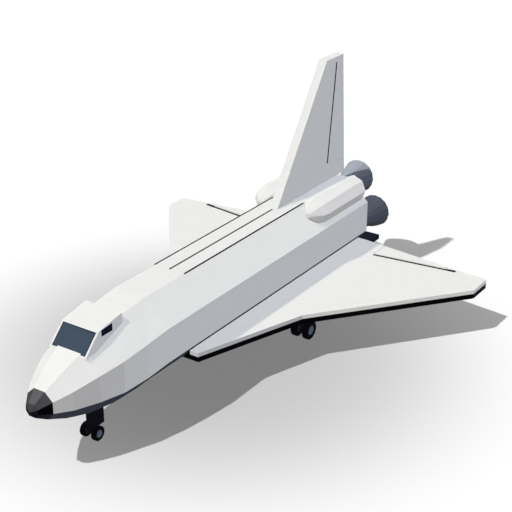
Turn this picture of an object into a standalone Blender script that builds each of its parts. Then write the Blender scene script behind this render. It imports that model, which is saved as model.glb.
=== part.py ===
"""Space shuttle orbiter parked on its landing gear, modelled as separate solids.

The nose points along -Y, +X is the port side and +Z is up. The wheels stand on z = 0.
Stations are distances aft of a fixed plane just ahead of the nose tip, in metres.
"""

import math
from typing import NamedTuple

import bmesh
import bpy
from mathutils import Matrix, Vector


class Section(NamedTuple):
    """One cross-section of the hull: a flat top, bevels, upright sides, lower bevels and a flat bottom."""

    station: float
    half_width: float
    ridge: float
    top: float
    side_top: float
    side_bottom: float
    keel_half_width: float
    bottom: float


# Clearances
SEAT_GAP = 0.0003
PIN_CLEARANCE = 0.0003
RUNNING_GAP = 0.015
COVE_PAST = 0.003
CUT_PAST = 1.0
ROUND_SIDES = 24

# Lengthwise stations
TIP_STATION = 0.17
BAY_START = 12.85
BAY_LENGTH = 11.37
AFT_HULL_LENGTH = 8.04
BAY_END = BAY_START + BAY_LENGTH
REAR_STATION = BAY_END + AFT_HULL_LENGTH

# The wings' two panels, whose underside is a seat gap below the hull's
WING_TOP = 3.449
PANEL_THICKNESS = 0.3136
WING_MID = WING_TOP - PANEL_THICKNESS
WING_BOTTOM = WING_MID - PANEL_THICKNESS

# Full hull section, which the middle and the aft hull keep
HALF_WIDTH = 2.88
RIDGE = 1.142
TOP = 7.98
SIDE_TOP = 6.42
SIDE_BOTTOM = 4.19
KEEL_HALF_WIDTH = 1.60
HULL_BOTTOM = WING_BOTTOM + SEAT_GAP

NOSE_SECTIONS = (
    Section(1.075, 0.94, 0.401, 5.257, 4.763, 4.04, 0.49, 3.523),
    Section(2.15, 1.538, 0.658, 5.97, 5.115, 3.93, 0.92, 3.20),
    Section(3.65, 2.135, 0.86, 6.645, 5.547, 3.90, 1.15, HULL_BOTTOM),
    Section(5.36, 2.511, 1.01, 7.25, 5.826, 3.82, 1.58, HULL_BOTTOM),
    Section(7.15, 2.738, 1.11, 7.76, 6.139, 3.955, 1.66, HULL_BOTTOM),
    Section(9.02, HALF_WIDTH, RIDGE, TOP, SIDE_TOP, SIDE_BOTTOM, KEEL_HALF_WIDTH, HULL_BOTTOM),
)
CAP_RING = Section(0.37, 0.45, 0.20, 4.71, 4.46, 4.14, 0.25, 3.88)
CAP_TIP_HEIGHT = 4.25

# Cabin
CANOPY_HALF_WIDTH = 1.36
CANOPY_WALL = 0.12
CANOPY_FOOT = 6.50
CANOPY_FRONT_FOOT = 3.48
CANOPY_FRONT_FOOT_HEIGHT = 6.515
CANOPY_FRONT_TOP = 4.67
CANOPY_FRONT_HEIGHT = 7.71
CANOPY_REAR = 6.72
CANOPY_REAR_HEIGHT = 8.05
WINDSCREEN_SIDE_POST = 0.125
WINDSCREEN_HEADER = 0.07
WINDSCREEN_FOOT = 6.57
GLASS_THICKNESS = 0.05
GLASS_SETBACK = 0.02
SIDE_WINDOW_START = 4.89
SIDE_WINDOW_LENGTH = 0.95
SIDE_WINDOW_SILL = 7.29
SIDE_WINDOW_FRONT_HEIGHT = 0.41
SIDE_WINDOW_REAR_HEIGHT = 0.475
WELL_HALF_WIDTH = 1.0
WELL_START = 4.3
WELL_LENGTH = 2.2
WELL_FLOOR = 5.6

# Payload bay
BAY_WALL = 0.30
DOOR_THICKNESS = 0.12
DOOR_GAP = 0.012
HINGE_ROD_RADIUS = 0.045
HINGE_ROD_PAST_BAY = 2.08

# Engine bay and bulkhead
BULKHEAD_THICKNESS = 0.12
ENGINE_BAY_HALF_WIDTH = 1.7
ENGINE_BAY_FLOOR = 4.6
ENGINE_BAY_ROOF = 7.2
ENGINE_BAY_DEPTH = 2.4
ENGINE_BLOCK_SIDE_ROOM = 0.4
ENGINE_BLOCK_HEIGHT = 1.9
ENGINE_BLOCK_LENGTH = 1.8

# Wings
KEEL_BLOCK_HALF_WIDTH = 2.2
KEEL_BLOCK_RISE = 0.2
WING_ROOT = KEEL_BLOCK_HALF_WIDTH + SEAT_GAP
GLOVE_AHEAD_OF_BAY = 0.99
GLOVE_START = BAY_START - GLOVE_AHEAD_OF_BAY
GLOVE_HALF_WIDTH = 2.823
TIP_HALF_SPAN = 12.976
TIP_SETBACK = 1.17
TIP_CHORD = 1.89
TIP_REAR = REAR_STATION - TIP_SETBACK
TIP_FRONT = TIP_REAR - TIP_CHORD
TRAILING_SWEEP = -0.1139
KINK_HALF_SPAN = 5.409
KINK_AHEAD_OF_TIP = 9.525

# Elevons
ELEVON_START = 4.55
ELEVON_SPAN = 5.40
ELEVON_END_GAP = 0.038
ELEVON_NOSE_INSET = 0.04
ELEVON_HINGE_SETBACK = 0.725
ELEVON_HINGE_SWEEP = 0.1218
ELEVON_NOSE_RELIEF = 0.0136
ELEVON_COVE_GAP = 0.008
ELEVON_NOSE_RADIUS = PANEL_THICKNESS - ELEVON_NOSE_RELIEF
ELEVON_COVE_RADIUS = ELEVON_NOSE_RADIUS + ELEVON_COVE_GAP
ELEVON_LIP = 0.06
ELEVON_SLAB_START = 0.17
STUB_RADIUS = 0.08
STUB_LENGTH = 0.2
STUB_END_GAP = 0.01

# Fin and rudder
FIN_HALF_THICKNESS = 0.318
FIN_FOOT_PAST_BAY = 0.13
FIN_OVERHANG = 0.89
FIN_TOP_SETBACK = 1.87
FIN_TOP_CHORD = 2.18
FIN_HEIGHT = 16.90
RUDDER_FOOT_CHORD = 2.36
RUDDER_FOOT_RISE = 1.31
RUDDER_HEAD_CHORD = 0.82
RUDDER_HEAD_DROP = 0.33
RUDDER_NOSE_RELIEF = 0.018
RUDDER_COVE_GAP = 0.009
RUDDER_NOSE_RADIUS = FIN_HALF_THICKNESS - RUDDER_NOSE_RELIEF
RUDDER_COVE_RADIUS = RUDDER_NOSE_RADIUS + RUDDER_COVE_GAP
RUDDER_LIP = 0.07
RUDDER_SLAB_START = 0.13

# Pods, placed square to the hull's upper bevel and along it from its middle, with stations ahead of the rear
POD_RISE = 0.183
POD_SLIDE = 0.210
POD_RADIUS = 0.992
POD_SIDES = 8
POD_SETBACK = 0.536
POD_RINGS = ((6.124, 0.18), (5.864, 0.52), (5.444, 0.88), (4.924, POD_RADIUS), (0.0, POD_RADIUS))
POD_NOZZLE_THROAT = 0.16
POD_NOZZLE_MOUTH = 0.30
POD_NOZZLE_LENGTH = 0.5
POD_NOZZLE_WALL = 0.03
POD_NOZZLE_HULL_GAP = 0.013
POD_NOZZLE_SLIDE = 0.430

# Main engine bells
BELL_WALL = 0.07
BELL_THROAT = 0.42
UPPER_BELL_RISE = 2.35
UPPER_BELL_MOUTH = 1.25
UPPER_BELL_LENGTH = 3.66
LOWER_BELL_OFFSET = 1.6
LOWER_BELL_RISE = 1.4479
LOWER_BELL_MOUTH = 1.21
LOWER_BELL_LENGTH = 3.46
LOWER_BELL_HEIGHT = HULL_BOTTOM + LOWER_BELL_RISE
UPPER_BELL_HEIGHT = LOWER_BELL_HEIGHT + UPPER_BELL_RISE
BELL_SHAPE = ((0.0, 0.0), (0.33, 0.165), (0.58, 0.47), (0.755, 0.735), (1.0, 1.0))

# Body flap
FLAP_HALF_WIDTH = 2.80
FLAP_RISE = 0.0679
FLAP_THICKNESS = 0.34
FLAP_NOSE_GAP = 0.03
FLAP_NOSE_STEPS = 16
FLAP_CHORD = 1.90
FLAP_MID_HEIGHT = HULL_BOTTOM + FLAP_RISE
FLAP_HINGE_STATION = REAR_STATION + FLAP_THICKNESS / 2 + FLAP_NOSE_GAP
FLAP_REAR = FLAP_HINGE_STATION + FLAP_CHORD
FLAP_ROD_RADIUS = 0.05
FLAP_ROD_INSET = 0.05
FLAP_LUG_RIM = 0.02
FLAP_LUG_WIDTH = 0.12
FLAP_LUG_ROOT = 0.1
FLAP_LUG_ROOM = 0.13
FLAP_LUG_PLACES = (-2.0, 0.0, 2.0)

# Nose gear
NOSE_WHEEL_STATION = 5.08
NOSE_TYRE_RADIUS = 0.465
NOSE_TYRE_WIDTH = 0.30
NOSE_HUB_RADIUS = 0.24
NOSE_TRACK_OUTSIDE = 0.587
NOSE_AXLE_RADIUS = 0.06
NOSE_STRUT_HALF_THICKNESS = 0.085
NOSE_STRUT_AHEAD = 0.36
NOSE_STRUT_BEHIND = 1.02
NOSE_STRUT_RISE = 0.135
KINGPIN_RADIUS = 0.055
KINGPIN_LENGTH = 0.5
CARRIER_HALF_LENGTH = 0.15
CARRIER_DROP = 0.1
CARRIER_GAP = 0.008

# Main gear
MAIN_WHEEL_AHEAD_OF_REAR = 9.64
MAIN_TYRE_RADIUS = 0.665
MAIN_TYRE_WIDTH = 0.36
MAIN_HUB_RADIUS = 0.32
MAIN_GEAR_CENTRE = 3.64
MAIN_TRACK_OUTSIDE = 0.63
MAIN_AXLE_RADIUS = 0.09
MAIN_STRUT_HALF_THICKNESS = 0.13
MAIN_STRUT_HALF_LENGTH = 0.26
MAIN_STRUT_DROP = 0.245
HUB_DISH = 0.05
HUB_RIM_INSET = 0.01
TYRE_ROUNDING = 0.07
TYRE_SIDES = 32

# Worked out from the sizes above
MIDSHIP = (TIP_STATION + REAR_STATION + UPPER_BELL_LENGTH) / 2
HULL_REAR = REAR_STATION - BULKHEAD_THICKNESS
NOSE_STRUT_FOOT = NOSE_TYRE_RADIUS + NOSE_STRUT_RISE
MAIN_WHEEL_STATION = REAR_STATION - MAIN_WHEEL_AHEAD_OF_REAR

# Colours as linear values, with roughness and metallic value
FINISHES = {
    "white_tile": ((0.84, 0.84, 0.82), 0.55, 0.0),
    "black_tile": ((0.010, 0.011, 0.013), 0.50, 0.0),
    "cap_grey": ((0.045, 0.05, 0.06), 0.40, 0.0),
    "glass": ((0.02, 0.03, 0.05), 0.08, 0.0),
    "rubber": ((0.006, 0.006, 0.008), 0.70, 0.0),
    "gear_metal": ((0.010, 0.011, 0.013), 0.45, 0.6),
    "hub_metal": ((0.18, 0.20, 0.25), 0.40, 0.7),
    "bell_metal": ((0.26, 0.30, 0.38), 0.35, 0.6),
    "bulkhead": ((0.50, 0.50, 0.50), 0.6, 0.0),
}


def clear_scene() -> None:
    """Removes every object that the file starts with."""
    for old in list(bpy.data.objects):
        bpy.data.objects.remove(old, do_unlink=True)


def make_collection(name: str) -> bpy.types.Collection:
    """A new collection in the scene."""
    collection = bpy.data.collections.new(name)
    bpy.context.scene.collection.children.link(collection)
    return collection


clear_scene()
PARTS = make_collection("space_shuttle_orbiter")
CUTTERS = make_collection("cutters")


def material(name: str) -> bpy.types.Material:
    """The Principled material of a finish, made once."""
    if name in bpy.data.materials:
        return bpy.data.materials[name]
    colour, roughness, metallic = FINISHES[name]
    made = bpy.data.materials.new(name)
    made.use_nodes = True
    shader = made.node_tree.nodes["Principled BSDF"]
    shader.inputs["Base Color"].default_value = (*colour, 1.0)
    shader.inputs["Roughness"].default_value = roughness
    shader.inputs["Metallic"].default_value = metallic
    return made


def y_at(station: float) -> float:
    """World Y of a station."""
    return station - MIDSHIP


def link_only(obj: bpy.types.Object, collection: bpy.types.Collection) -> None:
    """Leaves the object in one collection."""
    for old in list(obj.users_collection):
        old.objects.unlink(obj)
    collection.objects.link(obj)


def part(obj: bpy.types.Object, name: str, finish: str) -> bpy.types.Object:
    """Names an object as a finished part and gives it its material."""
    obj.name = name
    obj.data.name = name
    link_only(obj, PARTS)
    obj.data.materials.clear()
    obj.data.materials.append(material(finish))
    return obj


def cutter(obj: bpy.types.Object, name: str) -> bpy.types.Object:
    """Marks an object as a cutter, which isn't part of the model."""
    obj.name = name
    link_only(obj, CUTTERS)
    obj.hide_render = True
    obj.display_type = "WIRE"
    return obj


def cut(obj: bpy.types.Object, tool: bpy.types.Object, operation: str = "DIFFERENCE") -> None:
    """Adds an exact Boolean to an object."""
    boolean = obj.modifiers.new(f"{operation.lower()}_{tool.name}", "BOOLEAN")
    boolean.operation = operation
    boolean.solver = "EXACT"
    boolean.object = tool


def shade_round(obj: bpy.types.Object) -> None:
    """Shades a piece smooth, with its real edges kept sharp."""
    obj.data.shade_smooth()
    obj.data.set_sharp_from_angle(angle=math.radians(30))


def set_pivot(obj: bpy.types.Object, pivot: tuple) -> None:
    """Moves an unturned object's origin to (x, station, z) on its joint axis and leaves its mesh in place."""
    x, station, z = pivot
    origin = Vector((x, y_at(station), z))
    obj.data.transform(Matrix.Translation(obj.location - origin))
    obj.location = origin


def mesh_object(name: str, mesh: bpy.types.Mesh) -> bpy.types.Object:
    """An object for a mesh, in the scene."""
    obj = bpy.data.objects.new(name, mesh)
    bpy.context.scene.collection.objects.link(obj)
    return obj


def box(low: tuple, high: tuple) -> bpy.types.Object:
    """A box between two corners, given as x, station, z."""
    middle = [(a + b) / 2 for a, b in zip(low, high)]
    bpy.ops.mesh.primitive_cube_add(size=1.0, location=(middle[0], y_at(middle[1]), middle[2]))
    obj = bpy.context.object
    obj.data.transform(Matrix.Diagonal([*(b - a for a, b in zip(low, high)), 1.0]))
    return obj


def loft(rings: list) -> bpy.types.Object:
    """A closed skin over rings of points (x, station, z) that have the same count."""
    bm = bmesh.new()
    loops = [[bm.verts.new((x, y_at(s), z)) for x, s, z in ring] for ring in rings]
    for near, far in zip(loops, loops[1:]):
        for i in range(len(near)):
            j = (i + 1) % len(near)
            port = near[i].co.x + near[j].co.x >= 0.0
            a, b, c, d = (near[i], near[j], far[j], far[i]) if port else (near[j], near[i], far[i], far[j])
            bm.faces.new((a, b, c))
            bm.faces.new((a, c, d))
    bm.faces.new(list(reversed(loops[0])))
    bm.faces.new(loops[-1])
    bmesh.ops.recalc_face_normals(bm, faces=bm.faces)
    mesh = bpy.data.meshes.new("loft")
    bm.to_mesh(mesh)
    bm.free()
    return mesh_object("loft", mesh)


def plate(outline: list, low: float, high: float, upright: bool = False) -> bpy.types.Object:
    """A flat outline with a thickness, as a welded mesh.

    The outline is (x, station) with the thickness along Z, or (station, z) with it along X when upright.
    """
    curve = bpy.data.curves.new("outline", "CURVE")
    curve.dimensions = "2D"
    curve.fill_mode = "BOTH"
    curve.extrude = (high - low) / 2
    spline = curve.splines.new("POLY")
    spline.points.add(len(outline) - 1)
    for point, (a, b) in zip(spline.points, outline):
        point.co = (y_at(a), b, 0.0, 1.0) if upright else (a, y_at(b), 0.0, 1.0)
    spline.use_cyclic_u = True
    flat = bpy.data.objects.new("outline", curve)
    bpy.context.scene.collection.objects.link(flat)
    middle = (low + high) / 2
    if upright:
        flat.rotation_euler = (math.pi / 2, 0.0, math.pi / 2)
        flat.location = (middle, 0.0, 0.0)
    else:
        flat.location = (0.0, 0.0, middle)
    bpy.context.view_layer.update()
    seen = flat.evaluated_get(bpy.context.evaluated_depsgraph_get())
    mesh = bpy.data.meshes.new_from_object(seen)
    mesh.transform(flat.matrix_world)
    bm = bmesh.new()
    bm.from_mesh(mesh)
    bmesh.ops.remove_doubles(bm, verts=bm.verts, dist=0.00005)
    bmesh.ops.recalc_face_normals(bm, faces=bm.faces)
    bm.to_mesh(mesh)
    bm.free()
    bpy.data.objects.remove(flat, do_unlink=True)
    return mesh_object("plate", mesh)


def rod(start: Vector, end: Vector, radius: float, sides: int = ROUND_SIDES) -> bpy.types.Object:
    """A cylinder between two world points."""
    along = end - start
    bpy.ops.mesh.primitive_cylinder_add(vertices=sides, radius=radius, depth=along.length)
    obj = bpy.context.object
    turn = along.to_track_quat("Z", "Y").to_matrix().to_4x4()
    obj.data.transform(Matrix.Translation((start + end) / 2) @ turn)
    shade_round(obj)
    return obj


def clear_radius(radius: float, sides: int = ROUND_SIDES) -> float:
    """The corner radius of a many-sided hole in which a rod of this radius turns freely."""
    return (radius + PIN_CLEARANCE) / math.cos(math.pi / sides)


def turned(profile: list, sides: int, closed: bool) -> bpy.types.Object:
    """A profile of (radius, height) turned about Z; closed profiles are rings, open ones end on the axis."""
    bm = bmesh.new()
    points = [bm.verts.new((radius, 0.0, height)) for radius, height in profile]
    for a, b in zip(points, points[1:]):
        bm.edges.new((a, b))
    if closed:
        bm.edges.new((points[-1], points[0]))
    mesh = bpy.data.meshes.new("profile")
    bm.to_mesh(mesh)
    bm.free()
    obj = mesh_object("turned", mesh)
    screw = obj.modifiers.new("screw", "SCREW")
    screw.axis = "Z"
    screw.steps = sides
    screw.render_steps = sides
    screw.use_merge_vertices = True
    screw.merge_threshold = 0.0001
    seen = obj.evaluated_get(bpy.context.evaluated_depsgraph_get())
    obj.data = bpy.data.meshes.new_from_object(seen)
    obj.modifiers.clear()
    shade_round(obj)
    return obj


def hull_ring(section: Section, upper: bool, grow: float = 0.0) -> list:
    """The corners of the white upper or the black lower part of a section."""
    s, w, r = section.station, section.half_width + grow, section.ridge + grow
    if upper:
        floor = section.side_bottom - grow
        return [
            (w, s, floor),
            (w, s, section.side_top + grow),
            (r, s, section.top + grow),
            (-r, s, section.top + grow),
            (-w, s, section.side_top + grow),
            (-w, s, floor),
        ]
    k = section.keel_half_width + grow
    lid = section.side_bottom - SEAT_GAP
    return [(k, s, section.bottom - grow), (w, s, lid), (-w, s, lid), (-k, s, section.bottom - grow)]


def full_section(station: float) -> Section:
    """The hull's full section at a station."""
    return NOSE_SECTIONS[-1]._replace(station=station)


def hull_length(sections: list, upper: bool, grow: float = 0.0) -> bpy.types.Object:
    """One length of the hull over its sections."""
    return loft([hull_ring(section, upper, grow) for section in sections])


def mirror_x(outline: list, side: int) -> list:
    """An (x, station) outline on the port side, or mirrored to starboard."""
    return [(side * x, s) for x, s in outline]


def side_name(side: int) -> str:
    """The name of a side."""
    return "port" if side > 0 else "starboard"


def build_nose() -> None:
    """The nose cap, its tip and two rings."""
    first = NOSE_SECTIONS[0]

    def ring(section: Section, station: float) -> list:
        upper = hull_ring(section, True)
        keel = section.keel_half_width
        corners = [*upper, (-keel, 0, section.bottom), (keel, 0, section.bottom)]
        return [(x, station, z) for x, _, z in corners]

    rings = [ring(CAP_RING, CAP_RING.station), ring(first, first.station - SEAT_GAP)]
    bm = bmesh.new()
    tip = bm.verts.new((0.0, y_at(TIP_STATION), CAP_TIP_HEIGHT))
    loops = [[bm.verts.new((x, y_at(s), z)) for x, s, z in points] for points in rings]
    count = len(loops[0])
    for i in range(count):
        j = (i + 1) % count
        bm.faces.new((tip, loops[0][i], loops[0][j]))
        bm.faces.new((loops[0][i], loops[0][j], loops[1][j], loops[1][i]))
    bm.faces.new(loops[1])
    bmesh.ops.recalc_face_normals(bm, faces=bm.faces)
    mesh = bpy.data.meshes.new("nose_cap")
    bm.to_mesh(mesh)
    bm.free()
    part(mesh_object("nose_cap", mesh), "nose_cap", "cap_grey")


def build_forward_hull() -> None:
    """The forward hull with the cabin well, and the black hull under it."""
    sections = [*NOSE_SECTIONS, full_section(BAY_START - SEAT_GAP)]
    upper = part(hull_length(sections, True), "hull_forward", "white_tile")
    well = box(
        (-WELL_HALF_WIDTH, WELL_START, WELL_FLOOR),
        (WELL_HALF_WIDTH, WELL_START + WELL_LENGTH, TOP + CUT_PAST),
    )
    cut(upper, cutter(well, "cabin_well"))
    belly = part(hull_length(sections, False), "belly_forward", "black_tile")
    cut(belly, cutter(keel_block(GLOVE_START, BAY_START - SEAT_GAP), "keel_forward"), "UNION")


def canopy_outline(inset: float) -> list:
    """The side view (station, z) of the canopy, shrunk by an inset on all its sides."""
    slope = (CANOPY_FRONT_HEIGHT - CANOPY_FRONT_FOOT_HEIGHT) / (CANOPY_FRONT_TOP - CANOPY_FRONT_FOOT)
    roof = (CANOPY_REAR_HEIGHT - CANOPY_FRONT_HEIGHT) / (CANOPY_REAR - CANOPY_FRONT_TOP)
    foot = CANOPY_FOOT + inset
    shift = inset * math.hypot(1.0, slope) / slope
    drop = inset * math.hypot(1.0, roof)

    def front_at(z: float) -> float:
        return CANOPY_FRONT_TOP - (CANOPY_FRONT_HEIGHT - z) / slope + shift

    rear = CANOPY_REAR - inset
    brow_station = (
        CANOPY_FRONT_HEIGHT - drop - roof * CANOPY_FRONT_TOP - CANOPY_FRONT_HEIGHT
        + slope * (CANOPY_FRONT_TOP + shift)
    ) / (slope - roof)
    brow_height = CANOPY_FRONT_HEIGHT - drop + roof * (brow_station - CANOPY_FRONT_TOP)
    rear_height = CANOPY_FRONT_HEIGHT - drop + roof * (rear - CANOPY_FRONT_TOP)
    return [(front_at(foot), foot), (brow_station, brow_height), (rear, rear_height), (rear, foot)]


def windscreen_outline(front: float, back: float, head: float, foot: float) -> list:
    """The side view of a slab parallel to the windscreen, between two depths behind the canopy's face."""
    slope = (CANOPY_FRONT_HEIGHT - CANOPY_FRONT_FOOT_HEIGHT) / (CANOPY_FRONT_TOP - CANOPY_FRONT_FOOT)
    across = math.hypot(1.0, slope) / slope

    def at(depth: float, z: float) -> tuple:
        return (CANOPY_FRONT_TOP - (CANOPY_FRONT_HEIGHT - z) / slope + depth * across, z)

    return [at(front, foot), at(front, head), at(back, head), at(back, foot)]


def side_window_outline(inset: float) -> list:
    """The side view of a side window, shrunk by an inset on all its sides."""
    front, rear = SIDE_WINDOW_START + inset, SIDE_WINDOW_START + SIDE_WINDOW_LENGTH - inset
    sill = SIDE_WINDOW_SILL + inset
    return [
        (front, sill),
        (rear, sill),
        (rear, SIDE_WINDOW_SILL + SIDE_WINDOW_REAR_HEIGHT - inset),
        (front, SIDE_WINDOW_SILL + SIDE_WINDOW_FRONT_HEIGHT - inset),
    ]


def build_cabin() -> None:
    """The hollow canopy on the forward hull, its windscreen and its side windows."""
    w = CANOPY_HALF_WIDTH
    sections = [*NOSE_SECTIONS, full_section(BAY_START)]
    canopy = part(plate(canopy_outline(0.0), -w, w, upright=True), "canopy", "white_tile")
    inside = w - CANOPY_WALL
    cut(canopy, cutter(plate(canopy_outline(CANOPY_WALL), -inside, inside, upright=True), "canopy_inside"))
    hull = cutter(hull_length(sections, True, SEAT_GAP), "hull_under_canopy")
    cut(canopy, hull)
    head = CANOPY_FRONT_HEIGHT - WINDSCREEN_HEADER
    foot = WINDSCREEN_FOOT
    half = w - WINDSCREEN_SIDE_POST
    opening = plate(windscreen_outline(-CUT_PAST / 2, 2 * CANOPY_WALL, head, foot), -half, half, upright=True)
    cut(canopy, cutter(opening, "windscreen_opening"))
    outline = windscreen_outline(
        GLASS_SETBACK, GLASS_SETBACK + GLASS_THICKNESS, head - SEAT_GAP * 2, foot + SEAT_GAP * 2
    )
    glass = plate(outline, SEAT_GAP - half, half - SEAT_GAP, upright=True)
    windscreen = part(glass, "windscreen", "glass")
    cut(windscreen, hull)
    for side in (1, -1):
        name = side_name(side)
        low, high = sorted((side * (inside - GLASS_THICKNESS), side * (w + GLASS_THICKNESS)))
        hole = plate(side_window_outline(0.0), low, high, upright=True)
        cut(canopy, cutter(hole, f"side_window_opening_{name}"))
        low, high = sorted((side * (w - GLASS_SETBACK), side * (w - GLASS_SETBACK - GLASS_THICKNESS)))
        part(plate(side_window_outline(SEAT_GAP), low, high, upright=True), f"side_window_{name}", "glass")


def keel_block(start: float, end: float) -> bpy.types.Object:
    """The block that fills the hull's lower bevels out to the wings' roots."""
    half = KEEL_BLOCK_HALF_WIDTH
    return box((-half, start, WING_BOTTOM), (half, end, WING_TOP + KEEL_BLOCK_RISE))


def hinge_rod_line(side: int) -> tuple:
    """The two ends of a payload door's hinge rod, on the ridge of the hull."""
    return (
        Vector((side * RIDGE, y_at(BAY_START + SEAT_GAP), TOP)),
        Vector((side * RIDGE, y_at(BAY_END + HINGE_ROD_PAST_BAY), TOP)),
    )


def build_bay() -> None:
    """The middle hull, an open channel, with the belly under it, its two doors and their hinge rods."""
    sections = [full_section(BAY_START), full_section(BAY_END)]
    hull = part(hull_length(sections, True), "hull_middle", "white_tile")
    start, end = BAY_START - CUT_PAST, BAY_END + CUT_PAST
    inner = HALF_WIDTH - BAY_WALL
    neck = RIDGE + SEAT_GAP
    roof = TOP - BAY_WALL * 1.25
    shoulder = SIDE_TOP - BAY_WALL * 0.25
    floor = SIDE_BOTTOM + BAY_WALL
    ring = [
        (inner, floor),
        (inner, shoulder),
        (neck - 0.05, roof),
        (neck, roof + 0.2),
        (neck, TOP + 0.5),
        (-neck, TOP + 0.5),
        (-neck, roof + 0.2),
        (-neck + 0.05, roof),
        (-inner, shoulder),
        (-inner, floor),
    ]
    hollow = cutter(loft([[(x, s, z) for x, z in ring] for s in (start, end)]), "bay_hollow")
    cut(hull, hollow)
    belly = part(hull_length(sections, False), "belly_middle", "black_tile")
    cut(belly, cutter(keel_block(BAY_START, BAY_END), "keel_middle"), "UNION")
    for side in (1, -1):
        name = side_name(side)
        front, back = hinge_rod_line(side)
        part(rod(front, back, HINGE_ROD_RADIUS), f"hinge_rod_{name}", "black_tile")
        reach = Vector((0.0, 1.0, 0.0))
        groove = cutter(
            rod(front - reach, back + reach * 0.0005, clear_radius(HINGE_ROD_RADIUS)), f"hinge_groove_{name}"
        )
        cut(hull, groove)
        xs = sorted((side * DOOR_GAP / 2, side * (RIDGE - DOOR_GAP / 2)))
        low = (xs[0], BAY_START + DOOR_GAP, TOP - DOOR_THICKNESS)
        high = (xs[1], BAY_END - DOOR_GAP, TOP)
        door = part(box(low, high), f"payload_door_{name}", "white_tile")
        set_pivot(door, (side * RIDGE, (BAY_START + BAY_END) / 2, TOP))
        cut(door, groove)


def build_aft_hull() -> None:
    """The aft hull with the engine bay, the bulkhead that closes it, and the belly with the flap's hinge."""
    upper_sections = [full_section(BAY_END + SEAT_GAP), full_section(HULL_REAR)]
    hull = part(hull_length(upper_sections, True), "hull_aft", "white_tile")
    for side in (1, -1):
        cut(hull, bpy.data.objects[f"hinge_groove_{side_name(side)}"])
    bay = box(
        (-ENGINE_BAY_HALF_WIDTH, HULL_REAR - ENGINE_BAY_DEPTH, ENGINE_BAY_FLOOR),
        (ENGINE_BAY_HALF_WIDTH, HULL_REAR + CUT_PAST, ENGINE_BAY_ROOF),
    )
    cut(hull, cutter(bay, "engine_bay"))
    block = ENGINE_BAY_HALF_WIDTH - ENGINE_BLOCK_SIDE_ROOM
    part(
        box(
            (-block, HULL_REAR - ENGINE_BLOCK_LENGTH, ENGINE_BAY_FLOOR + SEAT_GAP),
            (block, HULL_REAR, ENGINE_BAY_FLOOR + ENGINE_BLOCK_HEIGHT),
        ),
        "engine_block",
        "gear_metal",
    )
    plates = [full_section(HULL_REAR + SEAT_GAP), full_section(REAR_STATION)]
    part(hull_length(plates, True), "aft_bulkhead", "white_tile")
    lower_sections = [full_section(BAY_END + SEAT_GAP), full_section(REAR_STATION)]
    belly = part(hull_length(lower_sections, False), "belly_aft", "black_tile")
    cut(belly, cutter(keel_block(BAY_END + SEAT_GAP, REAR_STATION), "keel_aft"), "UNION")


def build_flap() -> None:
    """The body flap on its hinge rod, which three lugs of the belly carry."""
    hinge_y = y_at(FLAP_HINGE_STATION)
    half = FLAP_THICKNESS / 2
    turns = [math.pi / 2 + math.pi * i / FLAP_NOSE_STEPS for i in range(FLAP_NOSE_STEPS + 1)]
    outline = [
        (FLAP_REAR, FLAP_MID_HEIGHT - half),
        (FLAP_REAR, FLAP_MID_HEIGHT + half),
        *((FLAP_HINGE_STATION + half * math.cos(a), FLAP_MID_HEIGHT + half * math.sin(a)) for a in turns),
    ]
    flap = part(plate(outline, -FLAP_HALF_WIDTH, FLAP_HALF_WIDTH, upright=True), "body_flap", "black_tile")
    shade_round(flap)
    set_pivot(flap, (0.0, FLAP_HINGE_STATION, FLAP_MID_HEIGHT))
    ends = [Vector((x, hinge_y, FLAP_MID_HEIGHT)) for x in (-FLAP_HALF_WIDTH, FLAP_HALF_WIDTH)]
    over = Vector((CUT_PAST, 0.0, 0.0))
    bore = cutter(rod(ends[0] - over, ends[1] + over, clear_radius(FLAP_ROD_RADIUS)), "flap_bore")
    cut(flap, bore)
    belly = bpy.data.objects["belly_aft"]
    inset = Vector((FLAP_ROD_INSET, 0.0, 0.0))
    pin = rod(ends[0] + inset, ends[1] - inset, FLAP_ROD_RADIUS)
    root = REAR_STATION - FLAP_LUG_ROOT
    lug_half = FLAP_ROD_RADIUS + FLAP_LUG_RIM
    for number, place in enumerate(FLAP_LUG_PLACES):
        wide = FLAP_LUG_WIDTH / 2
        lug = box(
            (place - wide, root, FLAP_MID_HEIGHT - lug_half),
            (place + wide, FLAP_HINGE_STATION + lug_half, FLAP_MID_HEIGHT + lug_half),
        )
        cut(belly, cutter(lug, f"flap_lug_{number}"), "UNION")
        room = wide + RUNNING_GAP
        slot = box(
            (place - room, root, FLAP_MID_HEIGHT - FLAP_THICKNESS),
            (place + room, FLAP_HINGE_STATION + lug_half + FLAP_LUG_ROOM, FLAP_MID_HEIGHT + FLAP_THICKNESS),
        )
        cut(flap, cutter(slot, f"flap_slot_{number}"))
    cut(belly, cutter(pin, "flap_pin"), "UNION")


def elevon_frame() -> tuple:
    """The elevon's hinge: its inboard point, the direction along it and the direction aft of it."""
    along = Vector((1.0, ELEVON_HINGE_SWEEP, 0.0)).normalized()
    aft = Vector((-along.y, along.x, 0.0))
    origin = Vector((ELEVON_START, TIP_REAR - ELEVON_HINGE_SETBACK, 0.0))
    return origin, along, aft


def trailing_station(x: float) -> float:
    """The station of the wing's trailing edge."""
    return TIP_REAR + TRAILING_SWEEP * (x - TIP_HALF_SPAN)


def meet_trailing(origin: Vector, direction: Vector) -> tuple:
    """Where a line in plan meets the trailing edge."""
    t = (trailing_station(origin.x) - origin.y) / (direction.y - TRAILING_SWEEP * direction.x)
    point = origin + direction * t
    return (point.x, point.y)


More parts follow.
